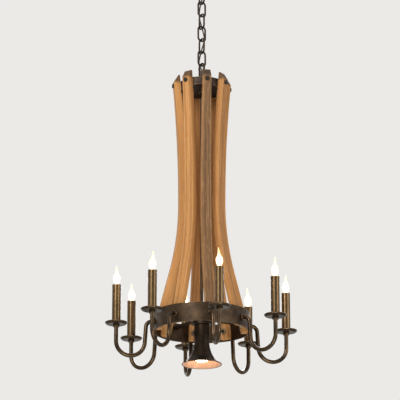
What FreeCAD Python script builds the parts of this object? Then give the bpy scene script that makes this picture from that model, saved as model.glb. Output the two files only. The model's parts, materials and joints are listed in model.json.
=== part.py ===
import FreeCAD, Part
import math
import os

import Sketcher

from FreeCAD import Placement, Rotation, Vector

# Barrel stave chandelier on a chain. Millimetres, +Z up, with the origin on the ceiling
# in the middle of the mounting bar. Staves, arms and candles stand every 45 degrees.
# Number 1 is in front, on -Y, and the others follow counter-clockwise from above.

link_count = 7
arm_count = 8

# Driving sizes: angles in degrees, the rest in millimetres
sizes = {
    # mounting bar and canopy
    "bar_length": 104,
    "bar_width": 20,
    "bar_thick": 2.4,
    "slot_spacing": 88.9,
    "slot_length": 14,
    "slot_width": 5,
    "canopy_radius": 66,
    "canopy_depth": 40,
    "canopy_wall": 1.6,
    "canopy_rim": 8,
    "canopy_bend": 45,
    "canopy_foot": 26,
    "canopy_nut_radius": 16,
    "canopy_nut_thick": 7,
    # threaded pipe, the nuts on it and the clearance of a hole round it
    "pipe_radius": 5.1,
    "pipe_bore": 3.2,
    "pipe_gap": 0.15,
    "nut_flats": 17,
    "nut_thick": 5,
    # loops at both ends of the chain
    "collar_radius": 10.5,
    "collar_above": 6,
    "collar_below": 12.5,
    "collar_thread": 12,
    "hang_collar_length": 24.5,
    "eye_radius": 14,
    "eye_wire": 3.5,
    "eye_sink": 2,
    # chain links: wire radius, then sizes between wire centres
    "link_wire": 3,
    "link_width": 27,
    "link_length": 49.4,
    "link_bend": 11,
    "link_gap": 0.3,
    "chain_turn": 22.5,
    # lamp cord
    "cord_radius": 2.2,
    "cord_offset": 7.6,
    "cord_tail": 40,
    "cord_lead": 5,
    # staves
    "crown_rise": 2.4,
    "stave_length": 841,
    "stave_thick": 22,
    "stave_top_width": 25,
    "stave_waist_width": 31,
    "stave_foot_width": 29,
    "waist_drop": 430,
    "waist_radius": 73.5,
    "upper_curve": 4110,
    "flare_angle": 14.5,
    "bevel_height": 24,
    "bevel_land": 5,
    "croze_drop": 54,
    "croze_width": 5,
    "croze_depth": 3.5,
    # crown pan and its bolts
    "crown_bite": 0.6,
    "crown_wall": 3,
    "crown_height": 26,
    "crown_inset": 21,
    "bolt_drop": 35,
    "bolt_radius": 4,
    "bolt_gap": 0.2,
    "bolt_flats": 13,
    "bolt_head": 6,
    "bolt_spot": 1.5,
    "bolt_nut_thick": 6,
    "bolt_tail": 3,
    # ring and the cross inside it
    "ring_outer": 150,
    "ring_wall": 4,
    "ring_height": 59,
    "foot_lift": 4,
    "foot_reach": 1,
    "cross_height": 42,
    "cross_thick": 4,
    "cross_width": 24,
    "hub_radius": 30,
    # arms
    "arm_height": 27,
    "tube_radius": 6.5,
    "elbow_radius": 19.5,
    "leg_lean": 4,
    "bow_radius": 45,
    "bow_drop": 67,
    "arm_reach": 120,
    "flange_radius": 11,
    "flange_thick": 4,
    "arm_spot": 3,
    "arm_tail": 2,
    "cup_radius": 10,
    "cup_height": 8,
    "shank_rise": 22,
    # candles
    "pan_drop": 16,
    "pan_radius": 35,
    "pan_depth": 7.5,
    "pan_wall": 1.5,
    "pan_bend": 9,
    "sleeve_radius": 13.75,
    "sleeve_wall": 1.2,
    "sleeve_height": 125.5,
    "socket_radius": 10.6,
    "socket_length": 34,
    "socket_recess": 2,
    "post_radius": 7.5,
    "base_radius": 5.9,
    "base_length": 19,
    "base_gap": 0.3,
    "bulb_neck": 7.5,
    "bulb_radius": 11,
    "bulb_belly": 21,
    "bulb_waist_radius": 3.8,
    "bulb_waist": 44,
    "bulb_tip": 1.2,
    "bulb_length": 61,
    "bulb_curve": 60,
    "bulb_tip_curve": 50,
    # downlight
    "fitter_radius": 31,
    "bell_drop": 19,
    "bell_neck": 23.5,
    "bell_neck_length": 54,
    "bell_flare_length": 73,
    "bell_mouth": 62.5,
    "bell_wall": 1.8,
    "down_socket_radius": 15,
    "down_socket_length": 34,
    "down_base_radius": 8.3,
    "down_base_length": 22,
    "down_neck": 11,
    "down_radius": 21,
    "down_length": 78,
    "down_face": 9,
    "down_face_curve": 30,
}

# Sizes that follow from those; heights are measured upwards from the ceiling
derived = {
    "bar_half": "=bar_length / 2",
    "bar_side": "=bar_width / 2",
    "bar_foot": "=-bar_thick",
    "slot_side": "=slot_width / 2",
    "slot_near": "=(slot_spacing - slot_length) / 2",
    "slot_far": "=(slot_spacing + slot_length) / 2",
    "slot_near_end": "=slot_near + slot_side",
    "slot_far_end": "=slot_far - slot_side",
    "pipe_hole": "=pipe_radius + pipe_gap",
    "nut_corner": "=nut_flats / 2 / cos(30)",
    "canopy_foot_z": "=-canopy_depth",
    "canopy_floor_z": "=canopy_wall - canopy_depth",
    "canopy_rim_z": "=-canopy_rim",
    "canopy_inner": "=canopy_radius - canopy_wall",
    "canopy_inner_bend": "=canopy_bend - canopy_wall",
    "canopy_nut_foot": "=canopy_foot_z - canopy_nut_thick",
    # chain
    "collar_hole": "=collar_radius + pipe_gap",
    "collar_top": "=canopy_foot_z + collar_above",
    "collar_foot": "=canopy_foot_z - collar_below",
    "bore_foot": "=collar_foot - eye_wire",
    "nipple_foot": "=collar_top - collar_thread",
    "eye_z": "=collar_foot + eye_sink - eye_radius",
    "chain_start": "=eye_z - eye_radius",
    "chain_pitch": "=link_length - 2 * link_wire - link_gap",
    "link_top": "=chain_start + eye_wire + link_gap + link_wire",
    "link_half": "=link_length / 2",
    "link_side": "=link_width / 2",
    "link_apex": "=link_side - link_bend",
    "link_leg": "=link_half - link_bend",
    "chain_end": f"=link_top - {link_count - 1} * chain_pitch - link_length",
    "hang_eye_z": "=chain_end + link_wire + link_gap + eye_wire - eye_radius",
    "hang_top": "=hang_eye_z - eye_radius + eye_sink",
    "hang_foot": "=hang_top - hang_collar_length",
    "hang_bore_top": "=hang_top + eye_wire",
    "stem_top": "=hang_foot + collar_thread",
    "cord_foot": "=stem_top - cord_tail",
    "cord_exit": "=collar_foot - cord_lead",
    "cord_entry": "=hang_top + cord_lead",
    # stave outline in its radial plane
    "crown_z": "=hang_foot + crown_rise",
    "foot_z": "=crown_z - stave_length",
    "waist_z": "=crown_z - waist_drop",
    "bevel_z": "=crown_z - bevel_height",
    "upper_r": "=waist_radius + upper_curve",
    "foot_spread": "=ring_outer + foot_reach - waist_radius",
    "flare_drop": "=stave_length - waist_drop",
    "lower_curve": "=(flare_drop * tan(flare_angle) - foot_spread) / (1 / cos(flare_angle) - 1)",
    "lower_r": "=waist_radius + lower_curve",
    "upper_inner": "=upper_curve + stave_thick",
    "lower_inner": "=lower_curve + stave_thick",
    "bevel_r": "=upper_r - sqrt(upper_curve ^ 2 - (waist_drop - bevel_height) ^ 2)",
    "top_in_r": "=upper_r - sqrt(upper_inner ^ 2 - waist_drop ^ 2)",
    "top_out_r": "=top_in_r + bevel_land",
    "waist_in_r": "=waist_radius - stave_thick",
    "bend_in_r": "=lower_r - lower_inner * cos(flare_angle)",
    "bend_in_z": "=waist_z - lower_inner * sin(flare_angle)",
    "bend_out_r": "=lower_r - lower_curve * cos(flare_angle)",
    "bend_out_z": "=waist_z - lower_curve * sin(flare_angle)",
    "foot_in_r": "=bend_in_r + (bend_in_z - foot_z) * tan(flare_angle)",
    "foot_out_r": "=bend_out_r + (bend_out_z - foot_z) * tan(flare_angle)",
    "top_side": "=stave_top_width / 2",
    "waist_side": "=stave_waist_width / 2",
    "foot_side": "=stave_foot_width / 2",
    "croze_z": "=crown_z - croze_drop",
    "croze_foot_z": "=croze_z - croze_width",
    "croze_r": "=upper_r - sqrt(upper_inner ^ 2 - (waist_drop - croze_drop) ^ 2) + croze_depth",
    # crown
    "crown_seat": "=upper_r - sqrt(upper_inner ^ 2 - (waist_drop - bolt_drop) ^ 2)",
    "crown_radius": "=crown_seat + crown_bite",
    "crown_inner": "=crown_radius - crown_wall",
    "crown_top": "=crown_z - crown_inset",
    "crown_foot": "=crown_top - crown_height",
    "crown_floor": "=crown_foot + crown_wall",
    "bolt_z": "=crown_z - bolt_drop",
    "bolt_hole": "=bolt_radius + bolt_gap",
    "bolt_corner": "=bolt_flats / 2 / cos(30)",
    "bolt_spot_r": "=bolt_corner + bolt_gap",
    "bolt_seat": "=upper_r - sqrt(upper_curve ^ 2 - (waist_drop - bolt_drop) ^ 2) - bolt_spot",
    "bolt_nut_seat": "=sqrt(crown_inner ^ 2 - bolt_corner ^ 2)",
    "bolt_end": "=bolt_nut_seat - bolt_nut_thick - bolt_tail",
    # ring
    "ring_inner": "=ring_outer - ring_wall",
    "ring_reach": "=ring_outer + foot_out_r",
    "ring_foot": "=foot_z - foot_lift",
    "ring_top": "=ring_foot + ring_height",
    "cross_z": "=ring_foot + cross_height",
    "cross_top": "=cross_z + cross_thick",
    # arm in its radial plane
    "arm_z": "=ring_foot + arm_height",
    "arm_seat": "=bend_in_r + (bend_in_z - arm_z) * tan(flare_angle) + arm_spot",
    "arm_spot_r": "=nut_corner + pipe_gap",
    "arm_end": "=arm_seat - nut_thick - arm_tail",
    "candle_circle": "=ring_outer + arm_reach",
    "bow_r": "=candle_circle - bow_radius",
    "bow_z": "=arm_z - bow_drop",
    "bow_foot_z": "=bow_z - bow_radius",
    "lean_rise": "=(bow_drop - elbow_radius) * sin(leg_lean)",
    "elbow_r": "=bow_r - (bow_radius + elbow_radius + lean_rise) / cos(leg_lean)",
    "leg_top_r": "=elbow_r + elbow_radius * cos(leg_lean)",
    "leg_top_z": "=arm_z - elbow_radius + elbow_radius * sin(leg_lean)",
    "leg_foot_r": "=bow_r - bow_radius * cos(leg_lean)",
    "leg_foot_z": "=bow_z - bow_radius * sin(leg_lean)",
    "pan_z": "=arm_z - pan_drop",
    "cup_z": "=pan_z - cup_height",
    "shank_top": "=pan_z + shank_rise",
    # candle
    "pan_top": "=pan_z + pan_wall",
    "pan_rim_z": "=pan_z + pan_depth",
    "pan_floor": "=pan_radius - pan_bend",
    "pan_inner": "=pan_radius - pan_wall",
    "pan_inner_bend": "=pan_bend - pan_wall",
    "pan_nut_top": "=pan_top + nut_thick",
    "sleeve_inner": "=sleeve_radius - sleeve_wall",
    "sleeve_top": "=pan_top + sleeve_height",
    "socket_top": "=sleeve_top - socket_recess",
    "socket_foot": "=socket_top - socket_length",
    "shank_clear": "=shank_top + base_gap",
    "cavity_r": "=base_radius + base_gap",
    "cavity_foot": "=socket_top - base_length",
    "base_foot": "=cavity_foot + base_gap",
    "neck_foot": "=socket_top + base_gap",
    "belly_z": "=sleeve_top + bulb_belly",
    "bulb_waist_z": "=sleeve_top + bulb_waist",
    "bulb_top": "=sleeve_top + bulb_length",
    # downlight
    "fitter_top": "=cross_z - nut_thick",
    "bell_top": "=cross_z - bell_drop",
    "bell_ceiling": "=bell_top - bell_wall",
    "bell_bend_z": "=bell_top - bell_neck_length",
    "bell_mouth_z": "=bell_bend_z - bell_flare_length",
    "bell_in_neck": "=bell_neck - bell_wall",
    "bell_in_mouth": "=bell_mouth - bell_wall",
    "bell_flare": "=(bell_flare_length ^ 2 / (bell_mouth - bell_neck) + bell_mouth - bell_neck) / 2",
    "down_socket_top": "=bell_ceiling - nut_thick",
    "down_socket_foot": "=down_socket_top - down_socket_length",
    "stem_foot": "=down_socket_top - nut_thick",
    "stem_clear": "=stem_foot - base_gap",
    "down_cavity": "=down_base_radius + base_gap",
    "down_cavity_top": "=down_socket_foot + down_base_length",
    "down_base_top": "=down_cavity_top - base_gap",
    "down_neck_top": "=down_socket_foot - base_gap",
    "down_end": "=down_neck_top - down_length",
    "down_face_z": "=down_end + down_face",
}

doc = FreeCAD.newDocument("chandelier")
sheet = doc.addObject("Spreadsheet::Sheet", "sheet")
for row, (alias, content) in enumerate({**sizes, **derived}.items(), start=1):
    sheet.set(f"A{row}", alias)
    sheet.set(f"B{row}", str(content))
    sheet.setAlias(f"B{row}", alias)
doc.recompute()

sub_parts = []


def size(name):
    # the value of a cell; "0" is the origin and a minus in front gives the opposite
    if name.startswith("-"):
        return -sheet.get(name[1:])
    return 0.0 if name == "0" else float(sheet.get(name))


def cell(name):
    # the same as an expression
    if name.startswith("-"):
        return f"-sheet.{name[1:]}"
    return "0" if name == "0" else f"sheet.{name}"


def sub_part(label, kind):
    piece = doc.addObject(kind, label)
    piece.Label = label
    sub_parts.append(piece)
    return piece


def new_body(label, degrees=0):
    body = sub_part(label, "PartDesign::Body")
    body.Placement = Placement(Vector(), Rotation(Vector(0, 0, 1), degrees))
    return body


def stand(number):
    # the direction of a numbered stave, arm or candle
    return 360 / arm_count * (number - 1) - 90


def origin_feature(body, role):
    return next(item for item in body.Origin.OriginFeatures if item.Role == role)


def new_sketch(body, plane, along="0", lift="0"):
    # a sketch on one of the body's planes, moved along its own X and along its normal
    sketch = body.newObject("Sketcher::SketchObject", "sketch")
    sketch.AttachmentSupport = [(origin_feature(body, plane), "")]
    sketch.MapMode = "FlatFace"
    sketch.setExpression("AttachmentOffset.Base.x", cell(along))
    sketch.setExpression("AttachmentOffset.Base.z", cell(lift))
    return sketch


def place_point(sketch, edge, point, x, y):
    for direction, name in (("DistanceX", x), ("DistanceY", y)):
        bind(sketch, name, direction, -1, 1, edge, point)


def bind(sketch, name, kind, *items):
    number = sketch.addConstraint(Sketcher.Constraint(kind, *items, size(name)))
    sketch.setExpression(f"Constraints[{number}]", cell(name))


def add_edge(sketch, start, end, bend):
    # a line, or an arc whose bend is its radius cell and the side of its centre:
    # +1 to the left of the way from start to end, -1 to the right
    if bend is None:
        sketch.addGeometry(Part.LineSegment(start, end))
        return
    radius, side = size(bend[0]), bend[1]
    half = (end - start).Length / 2
    across = Vector(start.y - end.y, end.x - start.x, 0).normalize()
    centre = (start + end) / 2 + across * side * math.sqrt(radius * radius - half * half)
    ends = (start, end) if side > 0 else (end, start)
    angles = [math.atan2(point.y - centre.y, point.x - centre.x) for point in ends]
    sketch.addGeometry(Part.ArcOfCircle(Part.Circle(centre, Vector(0, 0, 1), radius), *angles))


def draw(sketch, corners, bends=None, closed=True):
    # an outline through corners given as pairs of cells, with bends on the edges after some corners
    bends = bends or {}
    points = [Vector(size(x), size(y), 0) for x, y in corners]
    edges = len(points) if closed else len(points) - 1
    for n in range(edges):
        add_edge(sketch, points[n], points[(n + 1) % len(points)], bends.get(n))
    # an arc with its centre on the right is stored from its end to its start
    first = [2 if n in bends and bends[n][1] < 0 else 1 for n in range(edges)]
    for n in range(edges):
        place_point(sketch, n, first[n], *corners[n])
        if n in bends:
            bind(sketch, bends[n][0], "Radius", n)
        after = (n + 1) % edges
        if closed or after:
            joint = Sketcher.Constraint("Coincident", n, 3 - first[n], after, first[after])
            sketch.addConstraint(joint)
    if not closed:
        place_point(sketch, edges - 1, 3 - first[-1], *corners[-1])


def draw_circle(sketch, radius, x="0", y="0"):
    number = sketch.addGeometry(Part.Circle(Vector(size(x), size(y), 0), Vector(0, 0, 1), size(radius)))
    place_point(sketch, number, 3, x, y)
    bind(sketch, radius, "Radius", number)


def draw_hexagon(sketch, corner, x="0", y="0"):
    # a hexagon on a guide circle, with two corners level with its middle
    middle = Vector(size(x), size(y), 0)
    spokes = [Rotation(Vector(0, 0, 1), 60 * n).multVec(Vector(size(corner), 0, 0)) for n in range(6)]
    for n in range(6):
        sketch.addGeometry(Part.LineSegment(middle + spokes[n], middle + spokes[(n + 1) % 6]))
    guide = sketch.addGeometry(Part.Circle(middle, Vector(0, 0, 1), size(corner)), True)
    place_point(sketch, guide, 3, x, y)
    bind(sketch, corner, "Radius", guide)
    for n in range(6):
        sketch.addConstraint(Sketcher.Constraint("Coincident", n, 2, (n + 1) % 6, 1))
        sketch.addConstraint(Sketcher.Constraint("PointOnObject", n, 1, guide))
        if n:
            sketch.addConstraint(Sketcher.Constraint("Equal", 0, n))
    bind(sketch, y, "DistanceY", -1, 1, 0, 1)


def extrude(body, sketch, length, kind="Pad", back=False):
    feature = body.newObject(f"PartDesign::{kind}", kind.lower())
    feature.Profile = sketch
    feature.setExpression("Length", length)
    feature.Reversed = back
    return feature


def revolve(body, sketch, kind="Revolution"):
    # about the sketch's own upright axis
    feature = body.newObject(f"PartDesign::{kind}", kind.lower())
    feature.Profile = sketch
    feature.ReferenceAxis = (sketch, ["V_Axis"])
    feature.Angle = 360
    return feature


def sweep(body, profile, spine, kind="AdditivePipe"):
    feature = body.newObject(f"PartDesign::{kind}", kind.lower())
    feature.Profile = profile
    feature.Spine = (spine, [f"Edge{n + 1}" for n in range(spine.GeometryCount)])
    return feature


def repeat_round(body, features):
    pattern = body.newObject("PartDesign::PolarPattern", "pattern")
    pattern.Originals = features
    pattern.Axis = (origin_feature(body, "Z_Axis"), [""])
    pattern.Angle = 360
    pattern.Occurrences = arm_count
    body.Tip = pattern


def turned(label, corners, bends=None):
    # one piece turned about the middle of the chandelier
    body = new_body(label)
    sketch = new_sketch(body, "XZ_Plane")
    draw(sketch, corners, bends)
    revolve(body, sketch)
    return body


def turned_set(label, corners, bends=None):
    # the same piece on every candle, turned about the candle
    body = new_body(label)
    sketch = new_sketch(body, "XZ_Plane", along="candle_circle")
    draw(sketch, corners, bends)
    repeat_round(body, [revolve(body, sketch)])
    return body


def tube(inner, outer, low, high):
    return [(inner, low), (outer, low), (outer, high), (inner, high)]


def add_nut(body, corner, hole, lift, plane="XY_Plane", y="0", thick="nut_thick", back=False):
    sketch = new_sketch(body, plane, lift=lift)
    draw_hexagon(sketch, corner, y=y)
    draw_circle(sketch, hole, y=y)
    return extrude(body, sketch, cell(thick), back=back)


def make_mounting_bar():
    body = new_body("mounting_bar")
    blank = new_sketch(body, "XY_Plane")
    draw(blank, [("-bar_half", "-bar_side"), ("bar_half", "-bar_side"),
                 ("bar_half", "bar_side"), ("-bar_half", "bar_side")])
    draw_circle(blank, "pipe_hole")
    extrude(body, blank, "sheet.bar_thick", back=True)
    rounds = {n: ("slot_side", 1) for n in (1, 2, 4, 5)}
    for left, left_end, right_end, right in (
            ("slot_near", "slot_near_end", "slot_far_end", "slot_far"),
            ("-slot_far", "-slot_far_end", "-slot_near_end", "-slot_near")):
        slot = new_sketch(body, "XY_Plane")
        draw(slot, [(left_end, "-slot_side"), (right_end, "-slot_side"), (right, "0"),
                    (right_end, "slot_side"), (left_end, "slot_side"), (left, "0")], rounds)
        extrude(body, slot, "sheet.bar_thick", "Pocket")


def make_loop(label, eye, collar_ends, bore_ends, thread_ends):
    # an eye with a collar on the pipe: threaded for the pipe, then bored for the cord
    eye_ring = doc.addObject("Part::Torus", f"{label}_eye")
    eye_ring.setExpression("Radius1", "sheet.eye_radius")
    eye_ring.setExpression("Radius2", "sheet.eye_wire")
    across = Rotation(Vector(0, 0, 1), size("chain_turn"))
    eye_ring.Placement = Placement(Vector(), across.multiply(Rotation(Vector(0, 1, 0), 90)))
    eye_ring.setExpression("Placement.Base.z", cell(eye))
    rods = []
    for name, radius, (foot, top) in (("collar", "collar_radius", collar_ends),
                                      ("bore", "pipe_bore", bore_ends),
                                      ("thread", "pipe_hole", thread_ends)):
        rod = doc.addObject("Part::Cylinder", f"{label}_{name}")
        rod.setExpression("Radius", cell(radius))
        rod.setExpression("Height", f"{cell(top)} - ({cell(foot)})")
        rod.setExpression("Placement.Base.z", cell(foot))
        rods.append(rod)
    collar, bore, thread = rods
    joined = doc.addObject("Part::Fuse", f"{label}_joined")
    joined.Base, joined.Tool = collar, eye_ring
    inside = doc.addObject("Part::Fuse", f"{label}_inside")
    inside.Base, inside.Tool = bore, thread
    loop = sub_part(label, "Part::Cut")
    loop.Base, loop.Tool = joined, inside


def make_ceiling_end():
    make_mounting_bar()
    add_nut(new_body("bar_nut"), "nut_corner", "pipe_hole", "bar_foot", back=True)
    turned("canopy_nipple", tube("pipe_bore", "pipe_radius", "nipple_foot", "0"))
    turned("canopy", [
        ("collar_hole", "canopy_foot_z"), ("canopy_foot", "canopy_foot_z"),
        ("canopy_radius", "canopy_rim_z"), ("canopy_radius", "0"),
        ("canopy_inner", "0"), ("canopy_inner", "canopy_rim_z"),
        ("canopy_foot", "canopy_floor_z"), ("collar_hole", "canopy_floor_z")],
        {1: ("canopy_bend", 1), 5: ("canopy_inner_bend", -1)})
    turned("canopy_nut", tube("collar_hole", "canopy_nut_radius", "canopy_nut_foot", "canopy_foot_z"))
    make_loop("canopy_loop", "eye_z", ("collar_foot", "collar_top"), ("bore_foot", "collar_top"),
              ("nipple_foot", "collar_top"))


def make_link(number):
    # wire bent round a flat loop; every second link stands a quarter turn from its neighbours
    body = new_body(f"chain_link_{number}", size("chain_turn") + (0 if number % 2 else 90))
    middle = size("link_top") - size("link_half") - (number - 1) * size("chain_pitch")
    body.Placement.Base = Vector(0, 0, middle)
    spine = new_sketch(body, "XZ_Plane")
    draw(spine, [("link_side", "0"), ("link_side", "link_leg"), ("link_apex", "link_half"),
                 ("-link_apex", "link_half"), ("-link_side", "link_leg"), ("-link_side", "-link_leg"),
                 ("-link_apex", "-link_half"), ("link_apex", "-link_half"), ("link_side", "-link_leg")],
         {n: ("link_bend", 1) for n in (1, 3, 5, 7)})
    section = new_sketch(body, "XY_Plane")
    draw_circle(section, "link_wire", "link_side")
    sweep(body, section, spine)


def make_cord():
    # down the nipple, round the chain from link to link, and into the stem
    offset, pitch = size("cord_offset"), size("chain_pitch")
    contact = size("chain_start") + size("eye_wire") + size("link_gap") / 2
    turn = Rotation(Vector(0, 0, 1), size("chain_turn"))
    route = [Vector(0, 0, 0), Vector(0, 0, size("cord_exit"))]
    side_x, side_y = offset, offset
    for n in range(link_count + 1):
        route.append(turn.multVec(Vector(side_x, side_y, 0)) + Vector(0, 0, contact - n * pitch))
        # it goes through the opening of each link, so it changes sides of that link's plane
        side_x, side_y = (side_x, -side_y) if n % 2 == 0 else (-side_x, side_y)
    route += [Vector(0, 0, size("cord_entry")), Vector(0, 0, size("cord_foot"))]
    bend_share = 0.45  # of the shorter run beside a corner, so that two bends never meet
    edges, radii = [], []
    start = route[0]
    for before, corner, after in zip(route, route[1:], route[2:]):
        to_before, to_after = before - corner, after - corner
        half_turn = (math.pi - to_before.getAngle(to_after)) / 2
        reach = bend_share * min(to_before.Length, to_after.Length)
        radius = reach / math.tan(half_turn)
        first = corner + to_before.normalize() * reach
        last = corner + to_after.normalize() * reach
        inward = (to_before + to_after).normalize()
        summit = corner + inward * radius * (1 / math.cos(half_turn) - 1)
        edges += [Part.LineSegment(start, first).toShape(), Part.Arc(first, summit, last).toShape()]
        radii.append(radius)
        start = last
    edges.append(Part.LineSegment(start, route[-1]).toShape())
    path = Part.Wire(edges)
    section = Part.Wire(Part.Circle(route[0], Vector(0, 0, 1), size("cord_radius")).toShape())
    cord = sub_part("lamp_cord", "Part::Feature")
    cord.Shape = path.makePipeShell([section], True, False)
    cord.Placement = Placement()
    expected = math.pi * size("cord_radius") ** 2 * path.Length
    print("lamp_cord bends", [round(radius, 1) for radius in radii])
    print("lamp_cord volume", round(cord.Shape.Volume), "section times length", round(expected))


def make_stave(number):
    body = new_body(f"stave_{number}", stand(number))
    side = new_sketch(body, "XZ_Plane")
    draw(side, [("top_out_r", "crown_z"), ("top_in_r", "crown_z"), ("waist_in_r", "waist_z"),
                ("bend_in_r", "bend_in_z"), ("foot_in_r", "foot_z"), ("foot_out_r", "foot_z"),
                ("bend_out_r", "bend_out_z"), ("waist_radius", "waist_z"), ("bevel_r", "bevel_z")],
         {1: ("upper_inner", 1), 2: ("lower_inner", 1), 6: ("lower_curve", -1), 7: ("upper_curve", -1)})
    extrude(body, side, "sheet.stave_waist_width").Midplane = True
    # sides tapered from the waist to both ends
    for edge in ("", "-"):
        taper = new_sketch(body, "YZ_Plane")
        draw(taper, [(edge + "top_side", "crown_z"), (edge + "waist_side", "waist_z"),
                     (edge + "foot_side", "foot_z"), (edge + "stave_top_width", "foot_z"),
                     (edge + "stave_top_width", "crown_z")])
        extrude(body, taper, "sheet.ring_reach", "Pocket", back=True)
    # foot rounded to the ring, seat rounded to the crown pan, and the groove of the old barrel head
    for corners in (tube("ring_inner", "ring_reach", "ring_foot", "waist_z"),
                    tube("waist_in_r", "crown_radius", "crown_foot", "crown_top"),
                    tube("waist_in_r", "croze_r", "croze_foot_z", "croze_z")):
        cut = new_sketch(body, "XZ_Plane")
        draw(cut, corners)
        revolve(body, cut, "Groove")
    # holes and spot faces for the bolt and the arm
    for radius, height, lift, back in (
            ("bolt_hole", "bolt_z", "0", True), ("bolt_spot_r", "bolt_z", "bolt_seat", True),
            ("pipe_hole", "arm_z", "0", True), ("arm_spot_r", "arm_z", "arm_seat", False)):
        hole = new_sketch(body, "YZ_Plane", lift=lift)
        draw_circle(hole, radius, y=height)
        extrude(body, hole, "sheet.ring_outer", "Pocket", back=back)


def make_crown():
    pan = turned("crown_pan", [
        ("pipe_hole", "crown_foot"), ("crown_radius", "crown_foot"), ("crown_radius", "crown_top"),
        ("crown_inner", "crown_top"), ("crown_inner", "crown_floor"), ("pipe_hole", "crown_floor")])
    hole = new_sketch(pan, "YZ_Plane")
    draw_circle(hole, "bolt_hole", y="bolt_z")
    repeat_round(pan, [extrude(pan, hole, "sheet.crown_radius", "Pocket", back=True)])

    bolts = new_body("crown_bolts")
    head = new_sketch(bolts, "YZ_Plane", lift="bolt_seat")
    draw_hexagon(head, "bolt_corner", y="bolt_z")
    shank = new_sketch(bolts, "YZ_Plane", lift="bolt_seat")
    draw_circle(shank, "bolt_radius", y="bolt_z")
    repeat_round(bolts, [extrude(bolts, head, "sheet.bolt_head"),
                         extrude(bolts, shank, "sheet.bolt_seat - sheet.bolt_end", back=True)])

    nuts = new_body("crown_nuts")
    repeat_round(nuts, [add_nut(nuts, "bolt_corner", "bolt_hole", "bolt_nut_seat", "YZ_Plane", "bolt_z",
                                "bolt_nut_thick", back=True)])


def make_stem():
    turned("stem", tube("pipe_bore", "pipe_radius", "stem_foot", "stem_top"))
    nuts = new_body("stem_nuts")
    for lift, back in (("crown_floor", False), ("crown_foot", True), ("cross_top", False),
                       ("cross_z", True), ("bell_ceiling", True)):
        add_nut(nuts, "nut_corner", "pipe_hole", lift, back=back)


def make_ring():
    band = turned("ring_band", tube("ring_inner", "ring_outer", "ring_foot", "ring_top"))
    hole = new_sketch(band, "YZ_Plane")
    draw_circle(hole, "pipe_hole", y="arm_z")
    repeat_round(band, [extrude(band, hole, "sheet.ring_outer", "Pocket", back=True)])

    # flat bars crossed over a hub, between the feet of the staves, ends rounded to the ring
    bars = []
    for n in range(2):
        bar = doc.addObject("Part::Box", f"cross_bar_{n + 1}")
        bar.setExpression("Length", "2 * sheet.ring_outer")
        bar.setExpression("Width", "sheet.cross_width")
        bar.setExpression("Height", "sheet.cross_thick")
        quarter = Rotation(Vector(0, 0, 1), 180 / arm_count + 90 * n)
        corner = quarter.multVec(Vector(-size("ring_outer"), -size("cross_width") / 2, 0))
        bar.Placement = Placement(corner + Vector(0, 0, size("cross_z")), quarter)
        bars.append(bar)
    discs = []
    for name, radius in (("hub", "hub_radius"), ("reach", "ring_inner"), ("hole", "pipe_hole")):
        disc = doc.addObject("Part::Cylinder", f"cross_{name}")
        disc.setExpression("Radius", cell(radius))
        disc.setExpression("Height", "sheet.cross_thick")
        disc.setExpression("Placement.Base.z", "sheet.cross_z")
        discs.append(disc)
    hub, reach, bore = discs
    joined = doc.addObject("Part::MultiFuse", "cross_joined")
    joined.Shapes = [*bars, hub]
    trimmed = doc.addObject("Part::Common", "cross_trimmed")
    trimmed.Base, trimmed.Tool = joined, reach
    cross = sub_part("ring_cross", "Part::Cut")
    cross.Base, cross.Tool = trimmed, bore


def make_arm(number):
    body = new_body(f"arm_{number}", stand(number))
    bends = {1: ("elbow_radius", -1), 3: ("bow_radius", 1), 4: ("bow_radius", 1)}
    hook = [("elbow_r", "arm_z"), ("leg_top_r", "leg_top_z"), ("leg_foot_r", "leg_foot_z"),
            ("bow_r", "bow_foot_z"), ("candle_circle", "bow_z")]
    spine = new_sketch(body, "XZ_Plane")
    draw(spine, [("ring_outer", "arm_z"), *hook, ("candle_circle", "pan_z")], bends, closed=False)
    section = new_sketch(body, "YZ_Plane", lift="ring_outer")
    draw_circle(section, "tube_radius", y="arm_z")
    sweep(body, section, spine)
    # flange on the ring and the threaded end through ring and stave
    flange = new_sketch(body, "YZ_Plane", lift="ring_outer")
    draw_circle(flange, "flange_radius", y="arm_z")
    extrude(body, flange, "sheet.flange_thick")
    inner_end = new_sketch(body, "YZ_Plane", lift="arm_end")
    draw_circle(inner_end, "pipe_radius", y="arm_z")
    extrude(body, inner_end, "sheet.ring_outer - sheet.arm_end + sheet.flange_thick")
    # cup under the drip pan and the threaded end through it
    cup = new_sketch(body, "XY_Plane", lift="cup_z")
    draw_circle(cup, "cup_radius", "candle_circle")
    extrude(body, cup, "sheet.cup_height")
    upper_end = new_sketch(body, "XY_Plane", lift="cup_z")
    draw_circle(upper_end, "pipe_radius", "candle_circle")
    extrude(body, upper_end, "sheet.shank_top - sheet.cup_z")
    # bore for the wires from end to end
    bore_path = new_sketch(body, "XZ_Plane")
    draw(bore_path, [("arm_end", "arm_z"), *hook, ("candle_circle", "shank_top")], bends, closed=False)
    bore = new_sketch(body, "YZ_Plane", lift="arm_end")
    draw_circle(bore, "pipe_bore", y="arm_z")
    sweep(body, bore, bore_path, "SubtractivePipe")


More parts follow.
